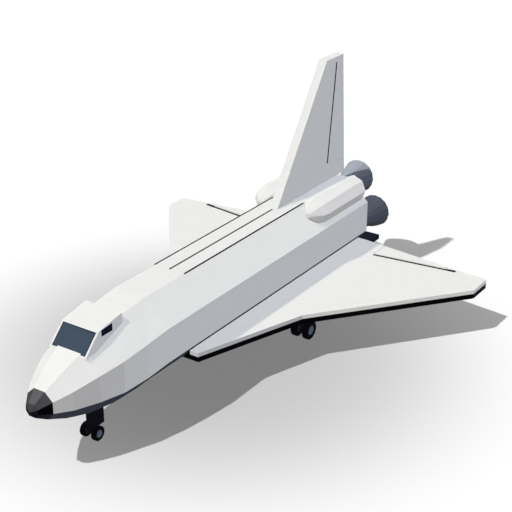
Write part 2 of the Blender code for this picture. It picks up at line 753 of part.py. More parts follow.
def wing_outline() -> list:
    """The port wing in plan, with the notch that the elevon moves in."""
    origin, along, aft = elevon_frame()
    length = ELEVON_SPAN / along.x
    inner = origin - along * ELEVON_END_GAP
    outer = origin + along * (length + RUNNING_GAP)
    lip = aft * -ELEVON_LIP
    root_rear = trailing_station(HALF_WIDTH)
    return [
        (WING_ROOT, GLOVE_START),
        (GLOVE_HALF_WIDTH, GLOVE_START),
        (KINK_HALF_SPAN, TIP_FRONT - KINK_AHEAD_OF_TIP),
        (TIP_HALF_SPAN, TIP_FRONT),
        (TIP_HALF_SPAN, TIP_REAR),
        meet_trailing(outer, aft),
        tuple((outer + lip)[:2]),
        tuple((inner + lip)[:2]),
        (inner.x, trailing_station(inner.x)),
        (HALF_WIDTH, root_rear),
        (WING_ROOT, root_rear),
    ]


def elevon_outline(start: float) -> list:
    """The port elevon in plan, from a distance aft of its hinge to the trailing edge."""
    origin, along, aft = elevon_frame()
    length = ELEVON_SPAN / along.x
    outer = origin + along * length
    return [
        (origin.x, (origin + aft * start).y),
        tuple((outer + aft * start)[:2]),
        meet_trailing(outer, aft),
        (origin.x, trailing_station(origin.x)),
    ]


def build_wing(side: int) -> None:
    """One wing, a white panel over a black one, with its elevon."""
    name = side_name(side)
    outline = mirror_x(wing_outline(), side)
    upper = part(plate(outline, WING_MID, WING_TOP), f"wing_upper_{name}", "white_tile")
    lower = part(plate(outline, WING_BOTTOM, WING_MID - SEAT_GAP), f"wing_lower_{name}", "black_tile")
    origin, along, aft = elevon_frame()
    length = ELEVON_SPAN / along.x

    def place(distance: float) -> Vector:
        point = origin + along * distance
        return Vector((side * point.x, y_at(point.y), WING_MID))

    inner_over = ELEVON_END_GAP + COVE_PAST
    outer_over = RUNNING_GAP + COVE_PAST
    cove_rod = rod(place(-inner_over), place(length + outer_over), ELEVON_COVE_RADIUS, 48)
    cove = cutter(cove_rod, f"elevon_cove_{name}")
    stub_over = STUB_LENGTH + STUB_END_GAP
    bore = cutter(
        rod(place(-stub_over), place(length + stub_over), clear_radius(STUB_RADIUS)), f"elevon_bore_{name}"
    )
    for panel in (upper, lower):
        cut(panel, cove)
        cut(panel, bore)
    nose = rod(place(ELEVON_NOSE_INSET), place(length), ELEVON_NOSE_RADIUS, 48)
    black = part(nose, f"elevon_lower_{name}", "black_tile")
    slab = plate(mirror_x(elevon_outline(ELEVON_SLAB_START), side), WING_BOTTOM, WING_MID - SEAT_GAP)
    cut(black, cutter(slab, f"elevon_black_slab_{name}"), "UNION")
    pin = cutter(rod(place(-STUB_LENGTH), place(length + STUB_LENGTH), STUB_RADIUS), f"elevon_pin_{name}")
    cut(black, pin, "UNION")
    white = part(
        plate(mirror_x(elevon_outline(ELEVON_SLAB_START), side), WING_MID, WING_TOP),
        f"elevon_upper_{name}",
        "white_tile",
    )
    clear = cutter(
        rod(place(-STUB_LENGTH), place(length + STUB_LENGTH), ELEVON_NOSE_RADIUS + 2 * SEAT_GAP, 48),
        f"elevon_seat_{name}",
    )
    cut(white, clear)
    middle = origin + along * (length / 2)
    for half in (black, white):
        set_pivot(half, (side * middle.x, middle.y, WING_MID))


def build_fin() -> None:
    """The fin on the hull's flat top, with the rudder in its notch."""
    front_top = Vector((REAR_STATION - FIN_TOP_SETBACK, FIN_HEIGHT))
    rear_top = Vector((front_top.x + FIN_TOP_CHORD, FIN_HEIGHT))
    rear_foot = Vector((REAR_STATION + FIN_OVERHANG, TOP + SEAT_GAP))
    foot = Vector((rear_foot.x - RUDDER_FOOT_CHORD, TOP + RUDDER_FOOT_RISE))
    head = Vector((rear_top.x - RUDDER_HEAD_CHORD, FIN_HEIGHT - RUDDER_HEAD_DROP))
    up = (head - foot).normalized()
    aft = Vector((up.y, -up.x))
    edge = rear_foot - rear_top

    def meet_edge(start: Vector) -> tuple:
        gap = rear_top - start
        t = (gap.x * edge.y - gap.y * edge.x) / (aft.x * edge.y - aft.y * edge.x)
        return tuple(start + aft * t)

    low = foot - up * RUNNING_GAP
    high = head + up * RUNNING_GAP
    outline = [
        (BAY_END + FIN_FOOT_PAST_BAY, TOP + SEAT_GAP),
        tuple(front_top),
        tuple(rear_top),
        meet_edge(high),
        tuple(high - aft * RUDDER_LIP),
        tuple(low - aft * RUDDER_LIP),
        meet_edge(low),
        tuple(rear_foot),
    ]
    t = FIN_HALF_THICKNESS
    fin = part(plate(outline, -t, t, upright=True), "fin", "white_tile")

    def place(point: Vector) -> Vector:
        return Vector((0.0, y_at(point.x), point.y))

    past = up * COVE_PAST
    cut(fin, cutter(rod(place(low - past), place(high + past), RUDDER_COVE_RADIUS, 48), "rudder_cove"))
    over = STUB_LENGTH + STUB_END_GAP
    bore = rod(place(foot - up * over), place(head + up * over), clear_radius(STUB_RADIUS))
    cut(fin, cutter(bore, "rudder_bore"))
    slab_foot, slab_head = foot + aft * RUDDER_SLAB_START, head + aft * RUDDER_SLAB_START
    slab = plate([tuple(slab_foot), tuple(slab_head), meet_edge(head), meet_edge(foot)], -t, t, upright=True)
    rudder = part(rod(place(foot), place(head), RUDDER_NOSE_RADIUS, 48), "rudder", "white_tile")
    cut(rudder, cutter(slab, "rudder_slab"), "UNION")
    pin = rod(place(foot - up * STUB_LENGTH), place(head + up * STUB_LENGTH), STUB_RADIUS)
    cut(rudder, cutter(pin, "rudder_pin"), "UNION")
    set_pivot(rudder, (0.0, *((foot + head) / 2)))


def nozzle_profile(throat: float, mouth: float, length: float, wall: float) -> list:
    """The closed wall of a nozzle from its throat, at height 0, to its mouth."""
    outer = [(throat + (mouth - throat) * r, length * z) for z, r in BELL_SHAPE]
    inner = [(radius - wall, height) for radius, height in outer]
    inner[0] = (inner[0][0], wall)
    return [*reversed(outer), (0.0, 0.0), (0.0, wall), *inner]


def build_nozzle(name: str, x: float, station: float, z: float, sizes: tuple, finish: str) -> None:
    """A nozzle that opens aft, from its throat at a station."""
    profile = nozzle_profile(*sizes)
    bell = turned(profile, ROUND_SIDES, closed=True)
    bell.rotation_euler = (-math.pi / 2, 0.0, 0.0)
    bell.location = (x, y_at(station), z)
    part(bell, name, finish)


def over_bevel(rise: float, slide: float) -> tuple:
    """The (x, z) of a point a rise square to the port upper bevel and a slide up it from its middle."""
    across = Vector((RIDGE - HALF_WIDTH, TOP - SIDE_TOP)).normalized()
    out = Vector((across.y, -across.x))
    point = Vector((HALF_WIDTH + RIDGE, SIDE_TOP + TOP)) / 2 + out * rise + across * slide
    return tuple(point)


def build_pod(side: int) -> None:
    """One engine pod on the hull's upper bevel, with its small nozzle."""
    name = side_name(side)
    centre_x, centre_z = over_bevel(POD_RISE, POD_SLIDE)
    rear = REAR_STATION - POD_SETBACK

    def ring(ahead: float, radius: float) -> list:
        turns = [2 * math.pi * i / POD_SIDES for i in range(POD_SIDES)]
        spokes = [(radius * math.cos(a), radius * math.sin(a)) for a in turns]
        return [(side * centre_x + x, rear - ahead, centre_z + z) for x, z in spokes]

    pod = part(loft([ring(*sizes) for sizes in POD_RINGS]), f"pod_{name}", "white_tile")
    if "hull_under_pods" not in bpy.data.objects:
        over = [full_section(BAY_END - CUT_PAST), full_section(REAR_STATION + CUT_PAST)]
        cutter(hull_length(over, True, SEAT_GAP), "hull_under_pods")
    cut(pod, bpy.data.objects["hull_under_pods"])
    cut(pod, bpy.data.objects[f"hinge_groove_{name}"])
    sizes = (POD_NOZZLE_THROAT, POD_NOZZLE_MOUTH, POD_NOZZLE_LENGTH, POD_NOZZLE_WALL)
    nozzle_x, nozzle_z = over_bevel(POD_NOZZLE_MOUTH + POD_NOZZLE_HULL_GAP, POD_NOZZLE_SLIDE)
    build_nozzle(f"pod_nozzle_{name}", side * nozzle_x, rear + SEAT_GAP, nozzle_z, sizes, "bell_metal")


def build_bells() -> None:
    """The three main engine bells on the bulkhead."""
    station = REAR_STATION + SEAT_GAP
    upper = (BELL_THROAT, UPPER_BELL_MOUTH, UPPER_BELL_LENGTH - SEAT_GAP, BELL_WALL)
    lower = (BELL_THROAT, LOWER_BELL_MOUTH, LOWER_BELL_LENGTH - SEAT_GAP, BELL_WALL)
    build_nozzle("engine_bell_upper", 0.0, station, UPPER_BELL_HEIGHT, upper, "bell_metal")
    for side in (1, -1):
        name = f"engine_bell_{side_name(side)}"
        build_nozzle(name, side * LOWER_BELL_OFFSET, station, LOWER_BELL_HEIGHT, lower, "bell_metal")


def tyre(name: str, x: float, station: float, radius: float, width: float, hub: float) -> None:
    """A tyre standing on the floor, turned about a line along X."""
    half = width / 2
    bead = hub + SEAT_GAP / math.cos(math.pi / TYRE_SIDES)
    corner = TYRE_ROUNDING
    arc = [math.pi / 2 * i / 3 for i in range(4)]
    top = [(radius - corner + corner * math.sin(a), half - corner + corner * math.cos(a)) for a in arc]
    low = [(r, -h) for r, h in reversed(top)]
    profile = [*top, *low, (bead, -half), (bead, half)]
    ring = turned(profile, TYRE_SIDES, closed=True)
    ring.rotation_euler = (0.0, math.pi / 2, 0.0)
    ring.location = (x, y_at(station), radius)
    part(ring, name, "rubber")


def axle_and_hubs(name: str, x: float, station: float, height: float, sizes: tuple) -> None:
    """An axle along X with a hub at each end, as one turned piece."""
    outside, width, hub, axle = sizes
    inside = outside - width
    profile = [
        (0.0, outside),
        (hub * 0.35, outside),
        (hub * 0.45, outside - HUB_DISH),
        (hub * 0.8, outside - HUB_DISH),
        (hub, outside - HUB_RIM_INSET),
        (hub, inside),
        (axle, inside),
        (axle, -inside),
        (hub, -inside),
        (hub, -outside + HUB_RIM_INSET),
        (hub * 0.8, -outside + HUB_DISH),
        (hub * 0.45, -outside + HUB_DISH),
        (hub * 0.35, -outside),
        (0.0, -outside),
    ]
    shaft = turned(profile, TYRE_SIDES, closed=False)
    shaft.rotation_euler = (0.0, math.pi / 2, 0.0)
    shaft.location = (x, y_at(station), height)
    part(shaft, name, "hub_metal")


def build_nose_gear() -> None:
    """The nose strut, the piece that steers on its kingpin, and the twin wheels on their axle."""
    t = NOSE_STRUT_HALF_THICKNESS
    strut = part(
        box(
            (-t, NOSE_WHEEL_STATION - NOSE_STRUT_AHEAD, NOSE_STRUT_FOOT),
            (t, NOSE_WHEEL_STATION + NOSE_STRUT_BEHIND, HULL_BOTTOM - SEAT_GAP),
        ),
        "nose_strut",
        "gear_metal",
    )
    y = y_at(NOSE_WHEEL_STATION)
    pin_top = NOSE_STRUT_FOOT + KINGPIN_LENGTH
    hole = rod(
        Vector((0.0, y, NOSE_STRUT_FOOT - CUT_PAST)),
        Vector((0.0, y, pin_top + SEAT_GAP)),
        clear_radius(KINGPIN_RADIUS),
    )
    cut(strut, cutter(hole, "kingpin_hole"))
    reach = CARRIER_HALF_LENGTH
    carrier_top = NOSE_STRUT_FOOT - CARRIER_GAP
    carrier = part(
        box(
            (-t, NOSE_WHEEL_STATION - reach, NOSE_TYRE_RADIUS - CARRIER_DROP),
            (t, NOSE_WHEEL_STATION + reach, carrier_top),
        ),
        "nose_steering_piece",
        "gear_metal",
    )
    pin = rod(Vector((0.0, y, carrier_top - 2 * CARRIER_GAP)), Vector((0.0, y, pin_top)), KINGPIN_RADIUS)
    cut(carrier, cutter(pin, "kingpin"), "UNION")
    across = Vector((1.0, 0.0, 0.0))
    centre = Vector((0.0, y, NOSE_TYRE_RADIUS))
    bore = rod(centre - across, centre + across, clear_radius(NOSE_AXLE_RADIUS, TYRE_SIDES), TYRE_SIDES)
    cut(carrier, cutter(bore, "nose_axle_bore"))
    sizes = (NOSE_TRACK_OUTSIDE, NOSE_TYRE_WIDTH, NOSE_HUB_RADIUS, NOSE_AXLE_RADIUS)
    axle_and_hubs("nose_axle", 0.0, NOSE_WHEEL_STATION, NOSE_TYRE_RADIUS, sizes)
    for side in (1, -1):
        x = side * (NOSE_TRACK_OUTSIDE - NOSE_TYRE_WIDTH / 2)
        tyre(
            f"nose_tyre_{side_name(side)}",
            x,
            NOSE_WHEEL_STATION,
            NOSE_TYRE_RADIUS,
            NOSE_TYRE_WIDTH,
            NOSE_HUB_RADIUS,
        )


def build_main_gear(side: int) -> None:
    """One main gear under its wing: a strut and twin wheels on their axle."""
    name = side_name(side)
    centre_x = side * MAIN_GEAR_CENTRE
    t = MAIN_STRUT_HALF_THICKNESS
    reach = MAIN_STRUT_HALF_LENGTH
    strut = part(
        box(
            (centre_x - t, MAIN_WHEEL_STATION - reach, MAIN_TYRE_RADIUS - MAIN_STRUT_DROP),
            (centre_x + t, MAIN_WHEEL_STATION + reach, WING_BOTTOM - SEAT_GAP),
        ),
        f"main_strut_{name}",
        "gear_metal",
    )
    across = Vector((1.0, 0.0, 0.0))
    centre = Vector((centre_x, y_at(MAIN_WHEEL_STATION), MAIN_TYRE_RADIUS))
    bore = rod(centre - across, centre + across, clear_radius(MAIN_AXLE_RADIUS, TYRE_SIDES), TYRE_SIDES)
    cut(strut, cutter(bore, f"main_axle_bore_{name}"))
    sizes = (MAIN_TRACK_OUTSIDE, MAIN_TYRE_WIDTH, MAIN_HUB_RADIUS, MAIN_AXLE_RADIUS)
    axle_and_hubs(f"main_axle_{name}", centre_x, MAIN_WHEEL_STATION, MAIN_TYRE_RADIUS, sizes)
    offset = MAIN_TRACK_OUTSIDE - MAIN_TYRE_WIDTH / 2
    for place, x in (("inner", centre_x - side * offset), ("outer", centre_x + side * offset)):
        tyre(
            f"main_tyre_{name}_{place}",
            x,
            MAIN_WHEEL_STATION,
            MAIN_TYRE_RADIUS,
            MAIN_TYRE_WIDTH,
            MAIN_HUB_RADIUS,
        )


def main() -> None:
    """Builds every part of the orbiter."""
    build_nose()
    build_forward_hull()
    build_cabin()
    build_bay()
    build_aft_hull()
    build_flap()
    build_fin()
    build_bells()
    build_nose_gear()
    for side in (1, -1):
        build_wing(side)
        build_pod(side)
        build_main_gear(side)


main()
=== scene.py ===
"""Looks for the space shuttle orbiter: its finishes, turned pieces, studio and camera.

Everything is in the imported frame, in metres: the nose points along -Y, +X is port, +Z is up and the
wheels stand on z = 0. A station is the lengthwise measure of the CAD source, MIDSHIP more than Y.
"""

import logging
import math
from collections.abc import Iterable, Sequence
from dataclasses import dataclass, field, replace
from enum import Enum
from functools import reduce
from operator import mul

import bmesh
import bpy
from mathutils import Matrix, Vector


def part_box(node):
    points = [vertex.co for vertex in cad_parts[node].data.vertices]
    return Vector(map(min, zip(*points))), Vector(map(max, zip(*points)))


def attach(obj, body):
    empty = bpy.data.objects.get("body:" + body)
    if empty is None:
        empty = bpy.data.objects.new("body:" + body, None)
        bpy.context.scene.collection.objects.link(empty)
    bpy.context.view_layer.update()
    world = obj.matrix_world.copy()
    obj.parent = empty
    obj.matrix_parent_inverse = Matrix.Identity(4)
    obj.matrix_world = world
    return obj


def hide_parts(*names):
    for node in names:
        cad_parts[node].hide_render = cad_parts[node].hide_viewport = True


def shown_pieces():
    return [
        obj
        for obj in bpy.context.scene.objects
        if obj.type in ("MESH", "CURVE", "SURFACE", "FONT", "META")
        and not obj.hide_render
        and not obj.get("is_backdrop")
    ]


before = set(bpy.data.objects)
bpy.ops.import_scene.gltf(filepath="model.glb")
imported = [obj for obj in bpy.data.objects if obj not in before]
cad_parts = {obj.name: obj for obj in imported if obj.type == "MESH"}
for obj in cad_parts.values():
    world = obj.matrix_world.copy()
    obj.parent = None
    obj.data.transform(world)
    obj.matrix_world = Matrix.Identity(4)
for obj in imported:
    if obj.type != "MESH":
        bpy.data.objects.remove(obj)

MIDSHIP = 18.045
LOG = logging.getLogger("orbiter")

Colour = tuple[float, float, float]
Point = tuple[float, float, float]
Pair = tuple[float, float]


class Side(Enum):
    """The two sides of the vehicle, with the sign of X on each."""

    PORT = 1
    STARBOARD = -1

    @property
    def label(self) -> str:
        """The word that node and body names use for this side."""
        return self.name.lower()


class Axis(Enum):
    """The line that a turned piece turns about, with the quarter turn that lays Z along it."""

    ACROSS = (math.pi / 2, "Y")
    ALONG = (-math.pi / 2, "X")


# Node graphs

# The colour inputs and the colour output of a Mix node, by number
MIX_UNDER = 6
MIX_OVER = 7
MIX_COLOUR = 2
# How far the grid of tiles is moved, as a share of a tile
TILE_SHIFT = 0.37


class Signal:
    """One output socket, with arithmetic that adds Math nodes."""

    def __init__(self, graph: "Graph", socket: bpy.types.NodeSocket) -> None:
        """Wraps an output socket of one of the graph's nodes."""
        self.graph = graph
        self.socket = socket

    def __add__(self, other: "Signal | float") -> "Signal":
        """This plus other."""
        return self.graph.math("ADD", self, other)

    __radd__ = __add__

    def __mul__(self, other: "Signal | float") -> "Signal":
        """This times other."""
        return self.graph.math("MULTIPLY", self, other)

    __rmul__ = __mul__

    def __sub__(self, other: "Signal | float") -> "Signal":
        """This minus other."""
        return self.graph.math("SUBTRACT", self, other)

    def __rsub__(self, other: float) -> "Signal":
        """Other minus this."""
        return self.graph.math("SUBTRACT", other, self)

    def __abs__(self) -> "Signal":
        """The value without its sign."""
        return self.graph.math("ABSOLUTE", self)

    def below(self, limit: float, soft: float) -> "Signal":
        """A mask that is 1 below a limit; soft is half the width of the change."""
        return self.graph.step(self, limit + soft, limit - soft)

    def above(self, limit: float, soft: float) -> "Signal":
        """A mask that is 1 above a limit; soft is half the width of the change."""
        return self.graph.step(self, limit - soft, limit + soft)

    def within(self, low: float, high: float, soft: float) -> "Signal":
        """A mask that is 1 between two limits; soft is half the width of each change."""
        return abs(self - (low + high) / 2).below((high - low) / 2, soft)


class Graph:
    """The node tree of one material or world."""

    def __init__(self, tree: bpy.types.NodeTree) -> None:
        """Wraps the tree that nodes are added to."""
        self.tree = tree

    def node(
        self,
        kind: str,
        settings: dict[str, object] | None = None,
        inputs: dict[int | str, object] | None = None,
        output: int | str = 0,
    ) -> Signal:
        """Adds a node.

        Args:
            kind: The node's type name.
            settings: Its own settings, which are set first.
            inputs: Values or signals for its sockets.
            output: The output that is handed back.

        Returns:
            The chosen output.
        """
        made = self.tree.nodes.new(kind)
        for name, value in (settings or {}).items():
            setattr(made, name, value)
        for name, value in (inputs or {}).items():
            self.feed(made.inputs[name], value)
        return Signal(self, made.outputs[output])

    def feed(self, socket: bpy.types.NodeSocket, value: object) -> None:
        """Sets an input socket.

        Args:
            socket: The input socket.
            value: A signal to link, or a plain value.
        """
        if isinstance(value, Signal):
            self.tree.links.new(value.socket, socket)
        elif isinstance(value, tuple) and len(value) == 3 and len(socket.default_value) == 4:
            socket.default_value = (*value, 1.0)
        else:
            socket.default_value = value

    def math(self, operation: str, *values: Signal | float) -> Signal:
        """One Math node on up to three values."""
        return self.node("ShaderNodeMath", {"operation": operation}, dict(enumerate(values)))

    def step(self, value: Signal, start: float, end: float) -> Signal:
        """A smooth step from 0 at start to 1 at end."""
        ends = {"Value": value, "From Min": start, "From Max": end}
        return self.node("ShaderNodeMapRange", {"interpolation_type": "SMOOTHSTEP"}, ends)

    def mix(self, amount: Signal | float, under: object, over: object) -> Signal:
        """Mixes two colours; the amount, from 0 to 1, is how much of the second one shows."""
        inputs = {0: amount, MIX_UNDER: under, MIX_OVER: over}
        return self.node("ShaderNodeMix", {"data_type": "RGBA"}, inputs, MIX_COLOUR)

    def shade(self, colour: object, amount: Signal) -> Signal:
        """A colour multiplied by a brightness."""
        inputs = {0: colour, "Scale": amount}
        return self.node("ShaderNodeVectorMath", {"operation": "SCALE"}, inputs)

    def noise(self, size: float, detail: float) -> Signal:
        """Noise round 0.5 over the piece, in patches of a size in metres, with finer layers."""
        inputs = {"Vector": self.where(), "Scale": 1.0 / size, "Detail": detail}
        return self.node("ShaderNodeTexNoise", None, inputs)

    def tiles(self, size: float, joint: float) -> tuple[Signal, Signal]:
        """Square tiles over the piece.

        Args:
            size: The length of a tile's side, in metres.
            joint: The width of the joint between two tiles, in metres.

        Returns:
            A value from 0 to 1 that differs from tile to tile, and a mask of the joints.
        """
        inputs = {0: self.where(), 1: (TILE_SHIFT * size,) * 3}
        place = self.node("ShaderNodeVectorMath", {"operation": "ADD"}, inputs)
        grid = {"Vector": place, "Scale": 1.0 / size, "Randomness": 0.0}
        colour = self.node("ShaderNodeTexVoronoi", None, grid, output="Color")
        edge = self.node("ShaderNodeTexVoronoi", {"feature": "DISTANCE_TO_EDGE"}, grid)
        tone = self.node("ShaderNodeSeparateXYZ", None, {0: colour})
        return tone, edge.below(joint / size, joint / size)

    def where(self) -> Signal:
        """The place of each point of the piece's surface, in the frame at rest."""
        return self.node("ShaderNodeTexCoord", output="Object")

    def place(self) -> tuple[Signal, Signal, Signal]:
        """The X, Y and Z of each point of the piece's surface, in the frame at rest."""
        outputs = self.node("ShaderNodeSeparateXYZ", None, {0: self.where()}).socket.node.outputs
        return tuple(Signal(self, outputs[axis]) for axis in "XYZ")

    def facing(self, axis: str) -> Signal:
        """How far the surface faces along an axis, from -1 to 1."""
        normal = self.node("ShaderNodeNewGeometry", output="True Normal")
        return self.node("ShaderNodeSeparateXYZ", None, {0: normal}, output=axis)


# Finishes

# How tiles, their joints, broad patches and fine grain show in a finish
TILE_JOINT = 0.004
TILE_TONE = 0.014
TILE_GRAIN = 0.4
JOINT_TONE = 0.05
BROAD_DETAIL = 3.0
BROAD_GLOSS = 0.08
FINE_DETAIL = 4.0
FINE_GLOSS = 0.12
FINE_TONE = 0.5
BUMP_STRENGTH = 0.35

WHITE = (0.80, 0.80, 0.79)
BLACK = (0.0030, 0.0031, 0.0040)
LINE = (0.004, 0.005, 0.008)


@dataclass(frozen=True)
class Ramp:
    """A change of painted light or shade with the way that a face looks.

    Attributes:
        axis: The axis along which that is measured.
        start: How far a face looks along it where the change starts, from -1 to 1.
        end: The same where the change is complete.
        mirrored: Whether faces that look the opposite way change as well.
    """

    axis: str
    start: float
    end: float
    mirrored: bool = False

    def mask(self, graph: Graph) -> Signal:
        """A mask that is 1 on the faces where the change is complete."""
        facing = graph.facing(self.axis)
        return graph.step(abs(facing) if self.mirrored else facing, self.start, self.end)


@dataclass(frozen=True)
class Tint:
    """Painted light or shade: a colour that faces take on by the way they look, as light falls on them.

    Attributes:
        colour: The colour.
        ramps: The changes that it takes, which are multiplied.
    """

    colour: Colour
    ramps: tuple[Ramp, ...]

    def over(self, graph: Graph, base: Signal | Colour) -> Signal:
        """The base colour with this painted light or shade over it."""
        mask = reduce(mul, (ramp.mask(graph) for ramp in self.ramps))
        return graph.mix(mask, base, self.colour)


# The ways that faces look, which choose where painted light and shade go
LEVEL = Ramp("Z", 0.8, 0.95)
UPRIGHT = Ramp("Z", 0.25, 0.15, mirrored=True)
UPWARDS = (Ramp("Z", 0.2, 0.95),)
DOWNWARDS = (Ramp("Z", -0.1, -0.7),)
SIDEWAYS = (Ramp("X", 0.985, 0.999, mirrored=True),)
SLIGHTLY_AHEAD = (Ramp("Y", -0.05, -0.3), UPRIGHT)
WELL_AHEAD = (Ramp("Y", -0.4, -0.6), UPRIGHT)
SHOULDERS = (Ramp("X", 0.8, 0.9, mirrored=True), Ramp("Z", 0.2, 0.3))
TIP = (Ramp("Y", -0.8, -0.9), Ramp("Z", -0.1, 0.35))


@dataclass(frozen=True)
class Finish:
    """A finish with uneven tone, uneven gloss, a fine grain and painted light and shade by the way its
    faces look.

    Attributes:
        name: The material's name.
        colour: The base colour, linear.
        roughness: The mean roughness.
        metallic: How metallic it is.
        specular: The specular level.
        mottle: The share by which its tone wanders.
        patch: The size of the patches of tone, in metres.
        grain: The height of the fine grain, in metres.
        grain_size: The size of the grain, in metres.
        tile: The length of a tile's side, in metres, or 0 for a finish without tiles.
        edge: Half the width of the soft edges in its own pattern, in metres.
        tints: The painted light and shade that its faces take on by the way they look, each over those
            before it.
    """

    name: str
    colour: Colour
    roughness: float
    metallic: float = 0.0
    specular: float = 0.5
    mottle: float = 0.03
    patch: float = 1.4
    grain: float = 0.002
    grain_size: float = 0.05
    tile: float = 0.0
    edge: float = 0.01
    tints: tuple[Tint, ...] = ()

    def pattern(self, graph: Graph, base: Signal) -> Signal:
        """The base colour with this finish's own pattern over it; plain finishes have none."""
        return base

    def by_facing(self, graph: Graph) -> Signal | Colour:
        """The base colour under its painted light and shade.

        Args:
            graph: The material's graph.

        Returns:
            The colour before tone and pattern.
        """
        base = self.colour
        for tint in self.tints:
            base = tint.over(graph, base)
        return base

    def material(self) -> bpy.types.Material:
        """The material, made once.

        Returns:
            The material. Its name differs from the CAD's materials, which stay as they are.
        """
        name = f"look_{self.name}"
        found = bpy.data.materials.get(name)
        if found is not None:
            return found
        made = bpy.data.materials.new(name)
        made.use_nodes = True
        graph = Graph(made.node_tree)
        shader = made.node_tree.nodes["Principled BSDF"]
        broad = graph.noise(self.patch, BROAD_DETAIL) - 0.5
        fine = graph.noise(self.grain_size, FINE_DETAIL) - 0.5
        tone = 1.0 + broad * self.mottle + fine * (self.mottle * FINE_TONE)
        height = fine
        if self.tile > 0.0:
            shift, joint = graph.tiles(self.tile, TILE_JOINT)
            tone = tone + (shift - 0.5) * TILE_TONE - joint * JOINT_TONE
            height = fine * TILE_GRAIN - joint
        base = self.pattern(graph, graph.shade(self.by_facing(graph), tone))
        graph.feed(shader.inputs["Base Color"], base)
        gloss = self.roughness + fine * FINE_GLOSS + broad * BROAD_GLOSS
        graph.feed(shader.inputs["Roughness"], gloss)
        shader.inputs["Metallic"].default_value = self.metallic
        shader.inputs["Specular IOR Level"].default_value = self.specular
        sockets = {"Strength": BUMP_STRENGTH, "Distance": self.grain, "Height": height}
        graph.feed(shader.inputs["Normal"], graph.node("ShaderNodeBump", None, sockets))
        return made


@dataclass(frozen=True)
class GlowFinish:
    """White that shines by itself and has no gloss.

    Attributes:
        name: The material's name.
        light: How bright it is, where 1 is full white.
    """

    name: str
    light: float = 1.0

    def material(self) -> bpy.types.Material:
        """The material.

        Returns:
            A new material.
        """
        made = bpy.data.materials.new(self.name)
        made.use_nodes = True
        shader = made.node_tree.nodes["Principled BSDF"]
        shader.inputs["Base Color"].default_value = (0.0, 0.0, 0.0, 1.0)
        shader.inputs["Specular IOR Level"].default_value = 0.0
        shader.inputs["Emission Color"].default_value = (1.0, 1.0, 1.0, 1.0)
        shader.inputs["Emission Strength"].default_value = self.light
        return made


@dataclass(frozen=True)
class HubFinish(Finish):
    """Hub metal with painted shade on the sides that look at the strut.

    Attributes:
        centre: How far the middle of the axle is from the middle of the vehicle.
        dark: The colour of the painted shade on those sides.
        change: The width of the change to it, in square metres.
    """

    centre: float = 0.0
    dark: Colour = (0.0060, 0.0064, 0.0090)
    change: float = 0.002

    def by_facing(self, graph: Graph) -> Signal | Colour:
        """The base colour outside and the painted shade inside.

        Args:
            graph: The material's graph.

        Returns:
            The colour before tone and pattern.
        """
        # Sides that look in towards the middle of the axle get the painted shade.
        x, _, _ = graph.place()
        outwards = x * graph.facing("X") * (abs(x) - self.centre)
        inner = graph.step(outwards, 0.0, -self.change)
        return graph.mix(inner, super().by_facing(graph), self.dark)


@dataclass(frozen=True)
class DoorFinish(Finish):
    """White tile with the black seam where the two payload doors meet.

    Attributes:
        edge: Half the width of the seam's soft edges.
        seam: Half the width of the seam.
    """

    edge: float = 0.006
    seam: float = 0.065

    def pattern(self, graph: Graph, base: Signal) -> Signal:
        """The base colour with the seam along the centre line over it."""
        x, _, _ = graph.place()
        return graph.mix(abs(x).below(self.seam, self.edge), base, LINE)


@dataclass(frozen=True)
class BayFinish(Finish):
    """White tile outside and grey blankets inside the payload bay.

    Attributes:
        lining: The colour of the blankets.
        half_width: Half the width of the bay.
        floor: The height of its floor.
        roof: The height that the lining ends at.
        bevel: The slope and reach of the slanting walls: x and z times its first two sum to its third.
        quilt: How fast its quilted bands follow each other, in radians per metre.
        quilt_tone: How much darker the lining is between two bands.
    """

    lining: Colour = (0.42, 0.45, 0.44)
    half_width: float = 2.70
    floor: float = 4.3
    roof: float = 7.7
    bevel: tuple[float, float, float] = (0.668, 0.744, 6.6)
    quilt: float = 4.0
    quilt_tone: float = 0.25

    def pattern(self, graph: Graph, base: Signal) -> Signal:
        """The lining inside the bay, in quilted bands.

        Args:
            graph: The material's graph.
            base: The colour under it.

        Returns:
            The colour with it.
        """
        x, y, z = graph.place()
        wave = abs(graph.math("SINE", y * self.quilt))
        bands = wave * self.quilt_tone + (1.0 - self.quilt_tone)
        across, up, reach = self.bevel
        inside = abs(x).below(self.half_width, self.edge) * z.within(self.floor, self.roof, self.edge)
        inside = inside * (abs(x) * across + z * up).below(reach, self.edge)
        return graph.mix(inside, base, graph.shade(self.lining, bands))


@dataclass(frozen=True)
class HingeLine:
    """A control surface's hinge line in side or plan view.

    Attributes:
        across: The coordinate along the line at its start.
        start: The Y at its start.
        sweep: How far aft the line runs for each metre along it.
    """

    across: float
    start: float
    sweep: float

    def aft_of(self, along: Signal, y: Signal) -> Signal:
        """How far aft of the line a point is, from its place along the line and its Y."""
        slope = 1.0 / math.hypot(1.0, self.sweep)
        return (y - along * self.sweep - (self.start - self.sweep * self.across)) * slope


ELEVON_LINE = HingeLine(across=4.55, start=30.365 - MIDSHIP, sweep=0.1218)
RUDDER_LINE = HingeLine(across=9.29, start=30.79 - MIDSHIP, sweep=0.96 / 7.28)


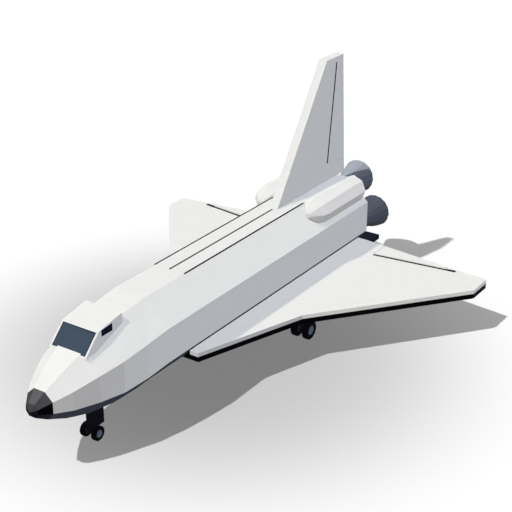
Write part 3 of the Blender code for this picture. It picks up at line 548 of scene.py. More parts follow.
@dataclass(frozen=True)
class WingTopFinish(Finish):
    """White tile, black along its lower edge, with a seam that runs on past the elevon's outer end.

    Attributes:
        seam_start: Where the seam starts, from the middle.
        seam_end: Where it ends.
        seam_low: Its front edge, aft of the hinge line.
        seam_high: Its rear edge, aft of the hinge line.
        split: The height where black takes over from white.
        split_edge: Half the width of that change.
    """

    seam_start: float = 4.58
    seam_end: float = 10.67
    seam_low: float = -0.17
    seam_high: float = 0.12
    split: float = 3.175
    split_edge: float = 0.004

    def pattern(self, graph: Graph, base: Signal) -> Signal:
        """The seam between its two ends, and the black edge.

        Args:
            graph: The material's graph.
            base: The colour under it.

        Returns:
            The colour with it.
        """
        x, y, z = graph.place()
        reach = abs(x).within(self.seam_start, self.seam_end, self.edge)
        seam = ELEVON_LINE.aft_of(abs(x), y).within(self.seam_low, self.seam_high, self.edge)
        base = graph.mix(z.below(self.split, self.split_edge), base, BLACK)
        return graph.mix(reach * seam, base, LINE)


@dataclass(frozen=True)
class ElevonFinish(Finish):
    """Black tile whose round front edge is white above, but for the dark seam.

    Attributes:
        white: The colour above.
        split: The height where white takes over from black.
        split_edge: Half the width of that change.
        seam_high: The rear edge of the seam, aft of the hinge line.
    """

    white: Colour = WHITE
    split: float = 3.14
    split_edge: float = 0.005
    seam_high: float = 0.09

    def pattern(self, graph: Graph, base: Signal) -> Signal:
        """White above the split and aft of the seam.

        Args:
            graph: The material's graph.
            base: The colour under it.

        Returns:
            The colour with it.
        """
        x, y, z = graph.place()
        aft = ELEVON_LINE.aft_of(abs(x), y).above(self.seam_high, self.edge)
        return graph.mix(z.above(self.split, self.split_edge) * aft, base, self.white)


@dataclass(frozen=True)
class FinFinish(Finish):
    """White tile with the dark seam between the fin and the rudder, and painted shade on the level sills in
    the gaps at the rudder's ends.

    Attributes:
        foot: The height where the seam starts.
        head: The height where it ends.
        seam: How far it reaches to the front and the rear of the hinge line.
        sill: The colour of the painted shade on the level faces in the gaps at the rudder's ends.
        sill_edge: Half the width of the change to it, below the head.
    """

    foot: float = 9.29
    head: float = 16.5
    seam: float = 0.11
    sill: Colour = (0.42, 0.42, 0.42)
    sill_edge: float = 0.05

    def by_facing(self, graph: Graph) -> Signal | Colour:
        """The base colour, with painted shade on the sills.

        Args:
            graph: The material's graph.

        Returns:
            The colour before tone and pattern.
        """
        _, _, z = graph.place()
        # Level faces in the rudder's end gaps get painted shade.
        sills = LEVEL.mask(graph) * z.below(self.head, self.sill_edge)
        return graph.mix(sills, super().by_facing(graph), self.sill)

    def pattern(self, graph: Graph, base: Signal) -> Signal:
        """The seam along the whole hinge line.

        Args:
            graph: The material's graph.
            base: The colour under it.

        Returns:
            The colour with it.
        """
        _, y, z = graph.place()
        line = RUDDER_LINE.aft_of(z, y).within(-self.seam, self.seam, self.edge)
        return graph.mix(line * z.within(self.foot, self.head, self.edge), base, LINE)


@dataclass(frozen=True)
class FloorFinish(Finish):
    """Pale studio floor with painted shade round the vehicle, which fades to white away from it.

    Attributes:
        centre: The X and Y of the middle of its painted shade.
        reach: How far from there the tone has mostly changed, in metres.
        power: How sudden the change is.
        far: The colour away from the vehicle.
    """

    centre: Pair = (-0.09, -0.32)
    reach: float = 16.7
    power: float = 3.72
    far: Colour = (0.537, 0.537, 0.537)

    def pattern(self, graph: Graph, base: Signal) -> Signal:
        """The painted shade, which fades with the distance from the centre.

        Args:
            graph: The material's graph.
            base: The colour under it.

        Returns:
            The colour with it.
        """
        x, y, _ = graph.place()
        across, along = x - self.centre[0], y - self.centre[1]
        ratio = graph.math("SQRT", across * across + along * along) * (1.0 / self.reach)
        near = graph.math("EXPONENT", graph.math("POWER", ratio, self.power) * -1.0)
        return graph.mix(near, self.far, base)


WHITE_LOOK = {"roughness": 0.68, "specular": 0.03, "tile": 0.3}
WHITE_TILE = Finish("white_tile", WHITE, **WHITE_LOOK)
# Nose tile: its facets that look a little ahead are painted darker, as painted shade.
NOSE_TILE = Finish(
    "nose_tile",
    WHITE,
    tints=(Tint((0.694, 0.669, 0.645), SLIGHTLY_AHEAD),),
    **WHITE_LOOK,
)
# Pod tile: faces that look down are painted darker and warmer, as painted shade with a painted reflection
# of the floor; faces on the upper sides are painted lighter, as painted light.
POD_TILE = Finish(
    "pod_tile",
    WHITE,
    tints=(Tint((0.680, 0.608, 0.553), DOWNWARDS), Tint((0.900, 0.880, 0.860), SHOULDERS)),
    **WHITE_LOOK,
)
DOOR_TILE = DoorFinish("door_tile", WHITE, **WHITE_LOOK)
BAY_TILE = BayFinish("bay_tile", WHITE, **WHITE_LOOK)
# Wing tile: faces that look a little ahead are painted darker, as painted shade; faces that look well ahead
# are painted lighter and warmer, as painted light.
WING_TILE = WingTopFinish(
    "wing_tile",
    WHITE,
    tints=(Tint((0.660, 0.645, 0.640), SLIGHTLY_AHEAD), Tint((0.900, 0.870, 0.810), WELL_AHEAD)),
    **WHITE_LOOK,
)
FIN_TILE = FinFinish("fin_tile", WHITE, **WHITE_LOOK)

# Black tile: faces that look sideways or up are painted lighter, as painted light, and faces that look down
# are painted a lighter blue-grey, as a painted reflection of the floor.
BLACK_LOOK = {
    "roughness": 0.72,
    "specular": 0.0,
    "tile": 0.2,
    "tints": (
        Tint((0.019, 0.021, 0.031), SIDEWAYS),
        Tint((0.020, 0.022, 0.031), UPWARDS),
        Tint((0.075, 0.080, 0.105), DOWNWARDS),
    ),
}
BLACK_TILE = Finish("black_tile", BLACK, mottle=0.2, **BLACK_LOOK)
ELEVON_TILE = ElevonFinish("elevon_tile", BLACK, mottle=0.05, **BLACK_LOOK)
# Nose cap: near black, with its faces that look up, down and ahead painted grey, as painted reflections.
NOSE_CAP = Finish(
    "nose_cap_grey",
    (0.0030, 0.0030, 0.0035),
    0.55,
    specular=0.0,
    mottle=0.12,
    tints=(
        Tint((0.124, 0.124, 0.131), UPWARDS),
        Tint((0.026, 0.028, 0.038), DOWNWARDS),
        Tint((0.062, 0.062, 0.068), TIP),
    ),
)

# The windscreen and the side windows are one glass in two copies: the windscreen's lighter blue is its tint
# with a painted reflection of the sky, and the side windows' darker copy is painted shade.
GLASS_LOOK = {"roughness": 0.12, "mottle": 0.06, "patch": 0.8, "grain": 0.0002}
GLASS = Finish("tinted_glass", (0.036, 0.058, 0.090), **GLASS_LOOK)
SHADED_GLASS = Finish("dark_glass", (0.006, 0.010, 0.020), specular=0.05, **GLASS_LOOK)
SEAL = Finish("window_seal", (0.004, 0.004, 0.006), 0.7, specular=0.0, patch=0.3)

RUBBER = Finish(
    "tyre_rubber",
    (0.0030, 0.0032, 0.0045),
    0.82,
    specular=0.02,
    mottle=0.3,
    patch=0.3,
    grain=0.003,
    grain_size=0.02,
)
GEAR_METAL = Finish("gear_metal", (0.0060, 0.0064, 0.0090), 0.6, specular=0.02, mottle=0.3, patch=0.4)
# Hubs: the sides that look in towards the strut carry painted shade.
NOSE_HUB = HubFinish(
    "nose_hub_metal",
    (0.125, 0.150, 0.200),
    0.45,
    metallic=0.3,
    specular=0.1,
    mottle=0.15,
    patch=0.2,
)
MAIN_HUB = replace(NOSE_HUB, name="main_hub_metal", centre=3.64)
# Bell metal: faces that look up are painted lighter, as painted light, and faces that look down darker, as
# painted shade.
BELL_METAL = Finish(
    "bell_metal",
    (0.165, 0.190, 0.250),
    0.5,
    specular=0.1,
    mottle=0.08,
    patch=0.6,
    grain=0.001,
    tints=(Tint((0.235, 0.256, 0.295), UPWARDS), Tint((0.115, 0.125, 0.150), DOWNWARDS)),
)
# The lower bells' metal is a darker copy of the bell metal: painted shade, as the hull shades them.
SHADED_LOWER_BELL_METAL = replace(
    BELL_METAL,
    name="lower_bell_metal",
    colour=(0.123, 0.142, 0.185),
    tints=(Tint((0.172, 0.191, 0.238), UPWARDS), Tint((0.086, 0.093, 0.108), DOWNWARDS)),
)


# Meshes


def dress(objects: Iterable[str], finish: Finish) -> None:
    """Gives CAD nodes a finish.

    Args:
        objects: The nodes' names.
        finish: The finish that replaces their CAD material.
    """
    for name in objects:
        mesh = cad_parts[name].data
        mesh.materials.clear()
        mesh.materials.append(finish.material())
        LOG.info("dressed %s in %s", name, finish.name)


def make_object(name: str, mesh: bmesh.types.BMesh, material: bpy.types.Material) -> bpy.types.Object:
    """Makes an object of the scene from a mesh that is being built.

    Args:
        name: The object's name.
        mesh: The mesh, which is freed.
        material: Its material.

    Returns:
        The object.
    """
    data = bpy.data.meshes.new(name)
    mesh.to_mesh(data)
    mesh.free()
    data.materials.append(material)
    made = bpy.data.objects.new(name, data)
    bpy.context.scene.collection.objects.link(made)
    return made


def middle(low: Sequence[float], high: Sequence[float]) -> Point:
    """The point midway between two corners."""
    return tuple((a + b) / 2 for a, b in zip(low, high))


def soften(name: str, width: float, segments: int = 2, crease: float = 30.0) -> None:
    """Rounds the outer edges of a CAD node a little.

    Args:
        name: The node's name.
        width: The bevel's width.
        segments: How many strips the round has.
        crease: The angle in degrees from which an edge is rounded.
    """
    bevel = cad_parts[name].modifiers.new("edge_rounding", "BEVEL")
    bevel.width = width
    bevel.segments = segments
    bevel.limit_method = "ANGLE"
    bevel.angle_limit = math.radians(crease)


def between(p: float, q: float, r: float, s: float, share: float) -> float:
    """A value on a Catmull-Rom spline.

    Args:
        p: The point before the two that it lies between.
        q: The first of those two.
        r: The second.
        s: The point after them.
        share: How far it is from the first to the second, from 0 to 1.

    Returns:
        The value.
    """
    slope = r - p
    square = 2 * p - 5 * q + 4 * r - s
    cube = 3 * q - p - 3 * r + s
    return 0.5 * (2 * q + slope * share + square * share**2 + cube * share**3)


def curve_through(points: Sequence[Pair], steps: int) -> list[Pair]:
    """A smooth line through points.

    Args:
        points: The points that it passes through.
        steps: How many pieces it has between two of them.

    Returns:
        The points along the line.
    """
    ends = [points[0], *points, points[-1]]
    line = []
    for four in zip(ends, ends[1:], ends[2:], ends[3:]):
        for i in range(steps):
            line.append(tuple(between(*values, i / steps) for values in zip(*four)))
    return [*line, points[-1]]


@dataclass
class Lathe:
    """Turned shapes that are gathered into one mesh.

    Attributes:
        axis: The line that the shapes turn about.
        centre: The point that their heights are measured from.
        mesh: The mesh that is being built.
    """

    axis: Axis
    centre: Point
    mesh: bmesh.types.BMesh = field(default_factory=bmesh.new)

    def matrix(self) -> Matrix:
        """Turns the lathe's own Z onto its axis and moves it to its centre."""
        angle, about = self.axis.value
        return Matrix.Translation(self.centre) @ Matrix.Rotation(angle, 4, about)

    def turn(self, profile: Sequence[Pair], segments: int, offset: Point = (0.0, 0.0, 0.0)) -> None:
        """Adds a turned shape.

        Args:
            profile: Its closed outline as (radius, height); a point at radius 0 is shared.
            segments: How many segments it has round the axis.
            offset: How far its own axis is moved.
        """
        rings = []
        for radius, height in profile:
            ring = []
            for i in range(segments if radius > 0.0 else 1):
                angle = 2 * math.pi * i / segments
                at = Vector((radius * math.cos(angle), radius * math.sin(angle), height))
                ring.append(self.mesh.verts.new(at + Vector(offset)))
            rings.append(ring)
        for near, far in zip(rings, [*rings[1:], rings[0]]):
            if len(near) == 1 and len(far) == 1:
                continue
            for i in range(segments):
                j = (i + 1) % segments
                corners = [near[i % len(near)], near[j % len(near)], far[j % len(far)], far[i % len(far)]]
                self.mesh.faces.new(list(dict.fromkeys(corners)))

    def piece(self, name: str, finish: Finish, crease: float = 32.0) -> bpy.types.Object:
        """Closes the mesh and makes it an object.

        Args:
            name: The object's name.
            finish: Its finish.
            crease: The angle in degrees from which an edge stays sharp.

        Returns:
            The object, with its place in its mesh.
        """
        bmesh.ops.recalc_face_normals(self.mesh, faces=self.mesh.faces)
        self.mesh.transform(self.matrix())
        made = make_object(name, self.mesh, finish.material())
        made.data.shade_smooth()
        made.data.set_sharp_from_angle(angle=math.radians(crease))
        return made


def stand_in(piece: bpy.types.Object, body: str, slot: str, *nodes: str) -> None:
    """Puts a piece on its body in place of CAD nodes.

    Args:
        piece: The piece.
        body: The body that it rides on.
        slot: The material slot that its finish belongs to; not used.
        nodes: The CAD nodes that it stands for.
    """
    if nodes:
        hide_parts(*nodes)
    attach(piece, body)
    LOG.info("built %s on %s", piece.name, body)


# Sub-assemblies


@dataclass
class Hull:
    """The hull, its nose cap, its payload doors and the engine block inside its tail.

    Attributes:
        white: The nodes in white tile.
        black: The nodes in black tile.
    """

    white: tuple[str, ...] = ("hull_aft", "aft_bulkhead", "canopy")
    black: tuple[str, ...] = ("belly_forward", "belly_middle", "belly_aft", "body_flap")

    def build(self) -> None:
        """Dresses the hull's nodes."""
        dress(self.white, WHITE_TILE)
        dress(("hull_forward",), NOSE_TILE)
        dress(self.black, BLACK_TILE)
        dress(("hull_middle",), BAY_TILE)
        dress((f"payload_door_{side.label}" for side in Side), DOOR_TILE)
        dress((f"hinge_rod_{side.label}" for side in Side), SEAL)
        dress(("nose_cap",), NOSE_CAP)
        dress(("engine_block",), GEAR_METAL)


@dataclass
class Cabin:
    """The cabin's windows with the seals round their glass.

    Attributes:
        seal_width: The width of a seal.
        seal_height: How far a seal stands over its glass.
        head_drop: How much lower a side window's front upper corner is than its rear one.
        rake: How far the windscreen rises for each metre aft.
        glass: The thickness of the windscreen.
        inset: How far inside the glass's edge a seal starts.
        lift: The gap between a seal and its glass.
    """

    seal_width: float = 0.05
    seal_height: float = 0.014
    head_drop: float = 0.065
    rake: float = 1.0042
    glass: float = 0.05
    inset: float = 0.001
    lift: float = 0.0005

    def mitres(self, corners: Sequence[Vector], out: Vector, closed: bool) -> list[tuple[Vector, Vector]]:
        """Works out how a seal turns at the corners of its glass.

        Args:
            corners: The corners of the glass that it follows, on the outer face.
            out: The direction that the glass faces.
            closed: Whether it runs all round the glass, or ends at the first and last corner.

        Returns:
            For each corner, where the seal starts and the way across it, longer than 1 at a turn.
        """
        count = len(corners)
        centre = sum(corners, Vector()) / count
        turns = []
        for i, corner in enumerate(corners):
            before = corners[i - 1] if closed or i > 0 else corner * 2 - corners[1]
            after = corners[(i + 1) % count] if closed or i < count - 1 else corner * 2 - corners[i - 1]
            inward = out.cross((after - before).normalized())
            if inward.dot(centre - corner) < 0.0:
                inward.negate()
            square = out.cross((after - corner).normalized())
            inward = inward.normalized() / abs(inward.normalized().dot(square))
            turns.append((corner + inward * self.inset + out * self.lift, inward))
        return turns

    def seal(self, name: str, corners: Sequence[Vector], out: Vector, closed: bool) -> None:
        """Lays a flat seal along a window's edge.

        Args:
            name: The piece's name.
            corners: The corners of the glass that it follows, on the outer face.
            out: The direction that the glass faces.
            closed: Whether it runs all round the glass, or ends at the first and last corner.
        """
        width, height = self.seal_width, self.seal_height
        section = ((0.0, 0.0), (0.0, height), (width, height), (width, 0.0))
        mesh = bmesh.new()
        frames = [
            [mesh.verts.new(start + inward * across + out * up) for across, up in section]
            for start, inward in self.mitres(corners, out, closed)
        ]
        for near, far in zip(frames, [*frames[1:], frames[0]] if closed else frames[1:]):
            for i in range(len(section)):
                j = (i + 1) % len(section)
                mesh.faces.new((near[i], near[j], far[j], far[i]))
        if not closed:
            mesh.faces.new(frames[0])
            mesh.faces.new(frames[-1])
        bmesh.ops.recalc_face_normals(mesh, faces=mesh.faces)
        stand_in(make_object(name, mesh, SEAL.material()), "airframe", "glass")

    def build_windscreen(self) -> None:
        """Lays the seal along the sides and the top of the windscreen."""
        low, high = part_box("windscreen")
        slant = math.hypot(1.0, self.rake)
        out = Vector((0.0, -self.rake, 1.0)) / slant
        top = Vector((0.0, high[1] - self.glass * slant / self.rake, high[2]))
        run = Vector((0.0, 1.0, self.rake)) * ((high[2] - low[2]) / self.rake)
        across = Vector((high[0], 0.0, 0.0))
        corners = [top - run - across, top - across, top + across, top - run + across]
        self.seal("windscreen_seal", corners, out, closed=False)

    def build_side_window(self, side: Side) -> None:
        """Lays the seal round one side window.

        Args:
            side: The side that it is on.
        """
        low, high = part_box(f"side_window_{side.label}")
        x = high[0] if side is Side.PORT else low[0]
        head = high[2] - self.head_drop
        outline = ((low[1], low[2]), (high[1], low[2]), (high[1], high[2]), (low[1], head))
        corners = [Vector((x, y, z)) for y, z in outline]
        out = Vector((side.value, 0.0, 0.0))
        self.seal(f"side_window_seal_{side.label}", corners, out, closed=True)

    def build(self) -> None:
        """Dresses the glass and adds the seals."""
        dress(("windscreen",), GLASS)
        dress(("side_window_port", "side_window_starboard"), SHADED_GLASS)
        self.build_windscreen()
        for side in Side:
            self.build_side_window(side)


@dataclass
class Wing:
    """One wing with its elevon.

    Attributes:
        side: The side that it is on.
    """

    side: Side

    def build(self) -> None:
        """Dresses the wing's nodes."""
        label = self.side.label
        dress((f"wing_upper_{label}", f"elevon_upper_{label}"), WING_TILE)
        dress((f"wing_lower_{label}",), BLACK_TILE)
        dress((f"elevon_lower_{label}",), ELEVON_TILE)


@dataclass
class Tail:
    """The fin and the rudder."""

    def build(self) -> None:
        """Dresses the fin and the rudder."""
        dress(("fin", "rudder"), FIN_TILE)


@dataclass
class Nozzle:
    """A bell with flat facets round its wall and a rolled rim.

    Attributes:
        node: The CAD node that it stands for.
        throat: Its radius at the front.
        mouth: Its radius at the rear.
        wall: The thickness of its wall.
        finish: Its finish.
        shape: Its curve, as shares of the length and of the growth from throat to mouth.
        steps: How many pieces the curve has between two of its points.
        lip: Its rolled rim, as shares of the wall in from the mouth and forward from the end.
        segments: How many segments it has round its axis.
        crease: The angle in degrees from which its edges stay sharp.
    """

    node: str
    throat: float
    mouth: float
    wall: float
    finish: Finish = BELL_METAL
    shape: tuple[Pair, ...] = ((0.0, 0.0), (0.33, 0.165), (0.58, 0.47), (0.755, 0.735), (1.0, 1.0))
    steps: int = 6
    lip: tuple[Pair, ...] = ((0.0, 0.2), (0.25, 0.0), (1.2, 0.0), (1.5, 0.5))
    segments: int = 16
    crease: float = 15.0

    def build(self) -> None:
        """Turns the bell in the place of its node."""
        low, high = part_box(self.node)
        length = high[1] - low[1]
        centre = ((low[0] + high[0]) / 2, low[1], (low[2] + high[2]) / 2)
        growth = self.mouth - self.throat
        line = curve_through(self.shape, self.steps)[:-1]
        outer = [(self.throat + growth * spread, length * along) for along, spread in line]
        inner = [(radius - self.wall, max(height, self.wall)) for radius, height in outer]
        lip = [(self.mouth - self.wall * inset, length - self.wall * back) for inset, back in self.lip]
        lathe = Lathe(Axis.ALONG, centre)
        lathe.turn([(0.0, 0.0), *outer, *lip, *reversed(inner), (0.0, self.wall)], self.segments)
        made = lathe.piece(f"{self.node}_turned", self.finish, self.crease)
        stand_in(made, "airframe", "bell_metal", self.node)


@dataclass
class MainEngines:
    """The three main engine bells.

    Attributes:
        throat: The radius of their throats.
        wall: The thickness of their walls.
        upper_mouth: The radius of the upper bell's mouth.
        lower_mouth: The radius of the lower bells' mouths.
    """

    throat: float = 0.42
    wall: float = 0.07
    upper_mouth: float = 1.25
    lower_mouth: float = 1.21

    def build(self) -> None:
        """Turns the upper bell and then the two lower ones."""
        Nozzle("engine_bell_upper", self.throat, self.upper_mouth, self.wall).build()
        for side in Side:
            name = f"engine_bell_{side.label}"
            # The lower bells take the darker copy of the bell metal, as painted shade.
            Nozzle(name, self.throat, self.lower_mouth, self.wall, SHADED_LOWER_BELL_METAL).build()


@dataclass
class Pod:
    """One engine pod with its small nozzle.

    Attributes:
        side: The side that it is on.
        throat: The radius of the nozzle's throat.
        mouth: The radius of its mouth.
        wall: The thickness of its wall.
    """

    side: Side
    throat: float = 0.16
    mouth: float = 0.30
    wall: float = 0.03

    def build(self) -> None:
        """Dresses the pod and turns its nozzle."""
        dress((f"pod_{self.side.label}",), POD_TILE)
        Nozzle(f"pod_nozzle_{self.side.label}", self.throat, self.mouth, self.wall).build()


@dataclass
class WheelPair:
    """Twin wheels on one axle: two tyres and the axle with its hubs.

    Attributes:
        body: The body that the wheels turn with.
        axle: The CAD node of the axle and hubs.
        tyres: The CAD nodes of the tyres.
        radius: The tyres' radius.
        width: Their width.
        hub: The hubs' radius.
        shaft: The axle's radius.
        bolts: How many bolts each hub has.
        finish: The hubs' finish.
        shoulder: The radius of the tyres' round shoulders.
        shoulder_steps: How many pieces that round has.
        tread: Where the grooves are, as shares of the tread's half width.
        groove: A groove's section, as depth and place across it.
        seat: The gap between hub and tyre.
        sidewall: A tyre's side, as height over its seat and depth from its widest.
        hub_face: A hub's outer face, as share of the hub's radius and depth.
        back: The radius of a hub's flat back, as a share of the hub's.
        chamfer: How far from that back the hub's round side ends.
        bolt_ring: The radius of the ring of bolts, as a share of the hub's.
        bolt_size: A bolt's radius, as a share of the hub's.
        bolt_foot: How far behind the hub's outermost face the bolts' feet are.
        bolt: A bolt's section, as share of its radius and height.
        tyre_segments: How many segments a tyre has round its axis.
        hub_segments: How many a hub has.
        bolt_sides: How many sides a bolt has.
    """

    body: str
    axle: str
    tyres: tuple[str, str]
    radius: float
    width: float
    hub: float
    shaft: float
    bolts: int
    finish: Finish
    shoulder: float = 0.05
    shoulder_steps: int = 7
    tread: tuple[float, ...] = (0.55, 0.0, -0.55)
    groove: tuple[Pair, ...] = ((0.0, 0.012), (0.010, 0.006), (0.010, -0.006), (0.0, -0.012))
    seat: float = 0.001
    sidewall: tuple[Pair, ...] = ((0.0, 0.015), (0.02, 0.0), (0.035, 0.006), (0.05, 0.0))
    hub_face: tuple[Pair, ...] = (
        (0.0, 0.0),
        (0.30, 0.0),
        (0.34, 0.012),
        (0.42, 0.05),
        (0.80, 0.05),
        (0.88, 0.02),
        (0.94, 0.008),
        (1.0, 0.012),
    )
    back: float = 0.97
    chamfer: float = 0.01
    bolt_ring: float = 0.61
    bolt_size: float = 0.06
    bolt_foot: float = 0.054
    bolt: tuple[Pair, ...] = ((0.0, 0.022), (0.8, 0.022), (1.0, 0.018), (1.0, 0.0), (0.0, 0.0))
    tyre_segments: int = 72
    hub_segments: int = 64
    bolt_sides: int = 6

    def tyre_profile(self) -> list[Pair]:
        """The tyre's section, with round shoulders and shallow grooves round the tread.

        Returns:
            The closed outline as (radius, height).
        """
        half = self.width / 2
        core, edge = self.radius - self.shoulder, half - self.shoulder
        arc = [math.pi / 2 * i / self.shoulder_steps for i in range(self.shoulder_steps + 1)]
        round_edge = [(core + self.shoulder * math.sin(a), edge + self.shoulder * math.cos(a)) for a in arc]
        tread = [
            (self.radius - depth, edge * share + across)
            for share in self.tread
            for depth, across in self.groove
        ]
        bead = self.hub + self.seat
        top = [*((bead + rise, half - depth) for rise, depth in self.sidewall), *round_edge]
        return [*top, *tread, *((r, -h) for r, h in reversed(top))]

    def build_tyres(self) -> None:
        """Turns the tyres in the places of their nodes."""
        for node in self.tyres:
            low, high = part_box(node)
            lathe = Lathe(Axis.ACROSS, middle(low, high))
            lathe.turn(self.tyre_profile(), self.tyre_segments)
            stand_in(lathe.piece(f"{node}_turned", RUBBER), self.body, "rubber", node)

    def build_axle(self) -> None:
        """Turns the axle with both hubs and sets the bolts in them."""
        low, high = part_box(self.axle)
        outside = (high[0] - low[0]) / 2
        inside = outside - self.width
        line = [(self.hub * share, outside - depth) for share, depth in self.hub_face]
        line += [(self.hub, inside + self.chamfer), (self.hub * self.back, inside), (self.shaft, inside)]
        lathe = Lathe(Axis.ACROSS, middle(low, high))
        lathe.turn([*line, *((r, -h) for r, h in reversed(line))], self.hub_segments)
        reach, size = self.hub * self.bolt_ring, self.hub * self.bolt_size
        for end in (1, -1):
            bolt = [(size * share, end * height) for share, height in self.bolt]
            foot = end * (outside - self.bolt_foot)
            for i in range(self.bolts):
                angle = 2 * math.pi * i / self.bolts
                at = (reach * math.cos(angle), reach * math.sin(angle), foot)
                lathe.turn(bolt, self.bolt_sides, at)
        stand_in(lathe.piece(f"{self.axle}_turned", self.finish), self.body, "hub_metal", self.axle)

    def build(self) -> None:
        """Builds both tyres and the axle."""
        self.build_tyres()
        self.build_axle()


@dataclass
class NoseGear:
    """The nose strut, its steering piece and its twin wheels.

    Attributes:
        edge: The width of the strut's rounded edges.
    """

    edge: float = 0.012

    def build(self) -> None:
        """Dresses the strut and turns the wheels."""
        dress(("nose_strut", "nose_steering_piece"), GEAR_METAL)
        soften("nose_strut", self.edge)
        WheelPair(
            body="nose_wheels",
            axle="nose_axle",
            tyres=("nose_tyre_port", "nose_tyre_starboard"),
            radius=0.465,
            width=0.30,
            hub=0.24,
            shaft=0.06,
            bolts=8,
            finish=NOSE_HUB,
        ).build()


@dataclass
class MainGear:
    """One main strut with its twin wheels.

    Attributes:
        side: The side that it is on.
        edge: The width of the strut's rounded edges.
    """

    side: Side
    edge: float = 0.015

    def build(self) -> None:
        """Dresses the strut and turns the wheels."""
        label = self.side.label
        dress((f"main_strut_{label}",), GEAR_METAL)
        soften(f"main_strut_{label}", self.edge)
        WheelPair(
            body=f"main_wheels_{label}",
            axle=f"main_axle_{label}",
            tyres=(f"main_tyre_{label}_inner", f"main_tyre_{label}_outer"),
            radius=0.665,
            width=0.36,
            hub=0.32,
            shaft=0.09,
            bolts=10,
            finish=MAIN_HUB,
        ).build()


# Studio


@dataclass(frozen=True)
class Lamp:
    """A sun lamp.

    Attributes:
        name: Its name.
        towards: The direction that its light comes from.
        light: What it adds to a white face that is square to it, where 1 is full white.
        colour: Its colour.
        angle: The angle that it fills in the sky, in degrees.
        shadow: Whether it casts shadows.
    """

    name: str
    towards: Point
    light: float
    colour: Colour = (1.0, 1.0, 1.0)
    angle: float = 1.0
    shadow: bool = True


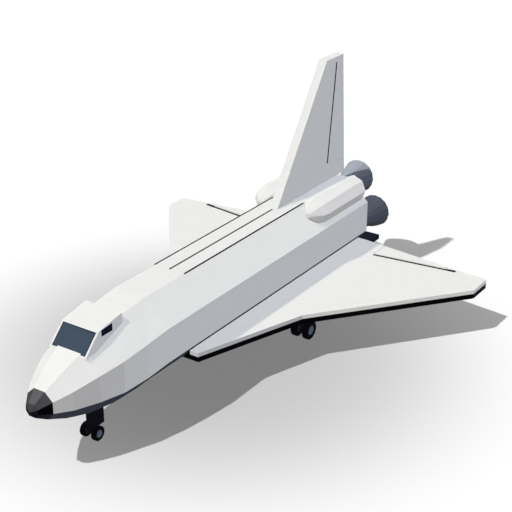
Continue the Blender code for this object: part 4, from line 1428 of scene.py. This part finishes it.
@dataclass
class Studio:
    """The floor, the light and the camera.

    Attributes:
        azimuth: The camera's turn round the vehicle, in degrees.
        elevation: The camera's height over the horizon, in degrees.
        eye: The camera's place.
        lens: Its focal length.
        sensor: The width of its sensor, in millimetres as the lens is.
        sight: How far it sees.
        floor_reach: How far the floor reaches to each side.
        floor_tone: The floor's tone under the vehicle, where its painted shade is deepest.
        wall_reach: How far the backdrop is.
        wall_foot: The height of its lower edge.
        wall_head: The height of its upper edge.
        wall_sides: How many flat sides it has.
        sun: The direction that the light comes from.
        above: The light that a face gets from all round when it looks up.
        beside: The same for an upright face.
        below: The same for a face that looks down.
        on_floor: The same for the floor.
        tint: The colour of that light on the vehicle.
        floor_tint: Its colour on the floor.
        horizon: The height, from -1 to 1, by which the sky's change is complete on either side.
        fill: The share of that light that comes from lamps without shadows, and not from the sky.
        ring: How many of those lamps stand round the vehicle.
    """

    azimuth: float = 34.383
    elevation: float = 25.113
    eye: Point = (44.05, -60.175, 41.80)
    lens: float = 89.573
    sensor: float = 36.0
    sight: float = 2000.0
    floor_reach: float = 900.0
    floor_tone: float = 0.304
    wall_reach: float = 880.0
    wall_foot: float = -1.0
    wall_head: float = 700.0
    wall_sides: int = 48
    sun: Point = (-0.27, -0.62, 1.0)
    above: float = 0.75
    beside: float = 0.55
    below: float = 0.35
    on_floor: float = 0.70
    tint: Colour = (0.973, 1.007, 1.077)
    floor_tint: Colour = (1.08, 1.0, 0.77)
    horizon: float = 0.25
    fill: float = 0.3
    ring: int = 8

    def build_camera(self) -> None:
        """Sets the camera to the photograph's view."""
        azimuth, elevation = math.radians(self.azimuth), math.radians(self.elevation)
        level = math.cos(elevation)
        back = Vector((math.sin(azimuth) * level, -math.cos(azimuth) * level, math.sin(elevation)))
        right = Vector((math.cos(azimuth), math.sin(azimuth), 0.0))
        data = bpy.data.cameras.new("photo_camera")
        data.sensor_width = self.sensor
        data.lens = self.lens
        data.clip_end = self.sight
        camera = bpy.data.objects.new("photo_camera", data)
        turn = Matrix((right, back.cross(right), back)).transposed().to_4x4()
        camera.matrix_world = Matrix.Translation(self.eye) @ turn
        bpy.context.scene.collection.objects.link(camera)
        bpy.context.scene.camera = camera

    def build_floor(self) -> bpy.types.Object:
        """Lays the pale floor, with painted shade round the vehicle.

        Returns:
            The floor.
        """
        mesh = bmesh.new()
        reach = self.floor_reach
        corners = ((-reach, -reach, 0.0), (reach, -reach, 0.0), (reach, reach, 0.0), (-reach, reach, 0.0))
        mesh.faces.new([mesh.verts.new(corner) for corner in corners])
        # The floor's tone near the vehicle is painted shade.
        tone = (self.floor_tone,) * 3
        finish = FloorFinish("studio_floor", tone, 0.9, specular=0.0, mottle=0.0, grain=0.0)
        return self.place_stage("studio_floor", mesh, finish)

    def build_backdrop(self) -> None:
        """Stands a white wall round the floor, which only the camera sees."""
        mesh = bmesh.new()
        turns = [2 * math.pi * i / self.wall_sides for i in range(self.wall_sides)]
        ways = [(self.wall_reach * math.cos(turn), self.wall_reach * math.sin(turn)) for turn in turns]
        foot = [mesh.verts.new((x, y, self.wall_foot)) for x, y in ways]
        head = [mesh.verts.new((x, y, self.wall_head)) for x, y in ways]
        for i in range(self.wall_sides):
            j = (i + 1) % self.wall_sides
            mesh.faces.new((foot[j], foot[i], head[i], head[j]))
        made = self.place_stage("studio_backdrop", mesh, GlowFinish("studio_backdrop"))
        made.visible_shadow = False

    def place_stage(
        self, name: str, mesh: bmesh.types.BMesh, finish: Finish | GlowFinish
    ) -> bpy.types.Object:
        """Puts a mesh of the studio in the scene, where it throws no light on the vehicle.

        Args:
            name: The object's name.
            mesh: Its mesh.
            finish: Its finish.

        Returns:
            The object.
        """
        made = make_object(name, mesh, finish.material())
        made.visible_diffuse = False
        made.visible_glossy = False
        made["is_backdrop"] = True
        return made

    def hang(self, lamp: Lamp, lit: Iterable[bpy.types.Object]) -> None:
        """Hangs one sun that lights only some objects.

        Args:
            lamp: The sun.
            lit: The objects that it lights.
        """
        data = bpy.data.lights.new(lamp.name, "SUN")
        data.energy = lamp.light * math.pi
        data.angle = math.radians(lamp.angle)
        data.color = lamp.colour
        data.use_shadow = lamp.shadow
        made = bpy.data.objects.new(lamp.name, data)
        made.matrix_world = Vector(lamp.towards).to_track_quat("Z", "Y").to_matrix().to_4x4()
        bpy.context.scene.collection.objects.link(made)
        receivers = bpy.data.collections.new(f"{lamp.name}_receivers")
        for obj in lit:
            receivers.objects.link(obj)
        made.light_linking.receiver_collection = receivers

    def soft(self, name: str, towards: Point, light: float, colour: Colour) -> Lamp:
        """A lamp without shadows, which stands in for light from all round."""
        return Lamp(name, towards, light, colour, angle=0.0, shadow=False)

    def build_lights(self, floor: bpy.types.Object) -> None:
        """Hangs the sun for the vehicle and for the floor, and the soft fill round them.

        Args:
            floor: The floor.
        """
        pieces = list(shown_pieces())
        for piece in pieces:
            piece.visible_diffuse = False
        bells = [piece for piece in pieces if piece.name.startswith(("engine_bell", "pod_nozzle"))]
        matt = [piece for piece in pieces if piece not in bells]
        self.hang(Lamp("vehicle_sun", self.sun, light=0.386, colour=(1.058, 0.98, 0.79)), matt)
        self.hang(Lamp("bell_sun", self.sun, light=1.25, colour=(1.0, 0.98, 0.92)), bells)
        self.hang(Lamp("floor_sun", self.sun, light=1.477), [floor])
        up = (0.0, 0.0, 1.0)
        light = self.on_floor - (1.0 - self.fill) * self.above
        self.hang(self.soft("floor_fill", up, light, self.floor_tint), [floor])
        self.hang(self.soft("top_fill", up, self.fill * self.above, self.tint), matt)
        for i in range(self.ring):
            turn = 2 * math.pi * (i + 0.5) / self.ring
            towards = (math.cos(turn), math.sin(turn), 0.0)
            light = self.fill * self.beside * math.pi / self.ring
            self.hang(self.soft(f"side_fill_{i}", towards, light, self.tint), matt)

    def build_sky(self) -> None:
        """Fills the world with soft light that is brighter above than below."""
        world = bpy.data.worlds.new("studio_sky")
        bpy.context.scene.world = world
        world.use_nodes = True
        graph = Graph(world.node_tree)
        ground = world.node_tree.nodes["Background"]
        way = graph.node("ShaderNodeTexCoord", output="Generated")
        height = graph.node("ShaderNodeSeparateXYZ", None, {0: way}, output="Z")
        low, high = (tuple(light * part for part in self.tint) for light in (self.below, self.above))
        up = graph.step(height, -self.horizon, self.horizon)
        graph.feed(ground.inputs["Color"], graph.mix(up, low, high))
        ground.inputs["Strength"].default_value = 1.0 - self.fill

    def build(self) -> None:
        """Sets up the camera, floor and lights."""
        self.build_camera()
        self.build_backdrop()
        self.build_lights(self.build_floor())
        self.build_sky()
        bpy.context.scene.view_settings.view_transform = "Standard"
        LOG.info("set up the studio")


def main() -> None:
    """Builds the vehicle's looks in order, then the studio."""
    logging.basicConfig(level=logging.INFO, format="%(name)s: %(message)s")
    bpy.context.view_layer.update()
    Hull().build()
    Cabin().build()
    for side in Side:
        Wing(side).build()
        Pod(side).build()
        MainGear(side).build()
    Tail().build()
    MainEngines().build()
    NoseGear().build()
    Studio().build()


if __name__ == "__main__":
    main()
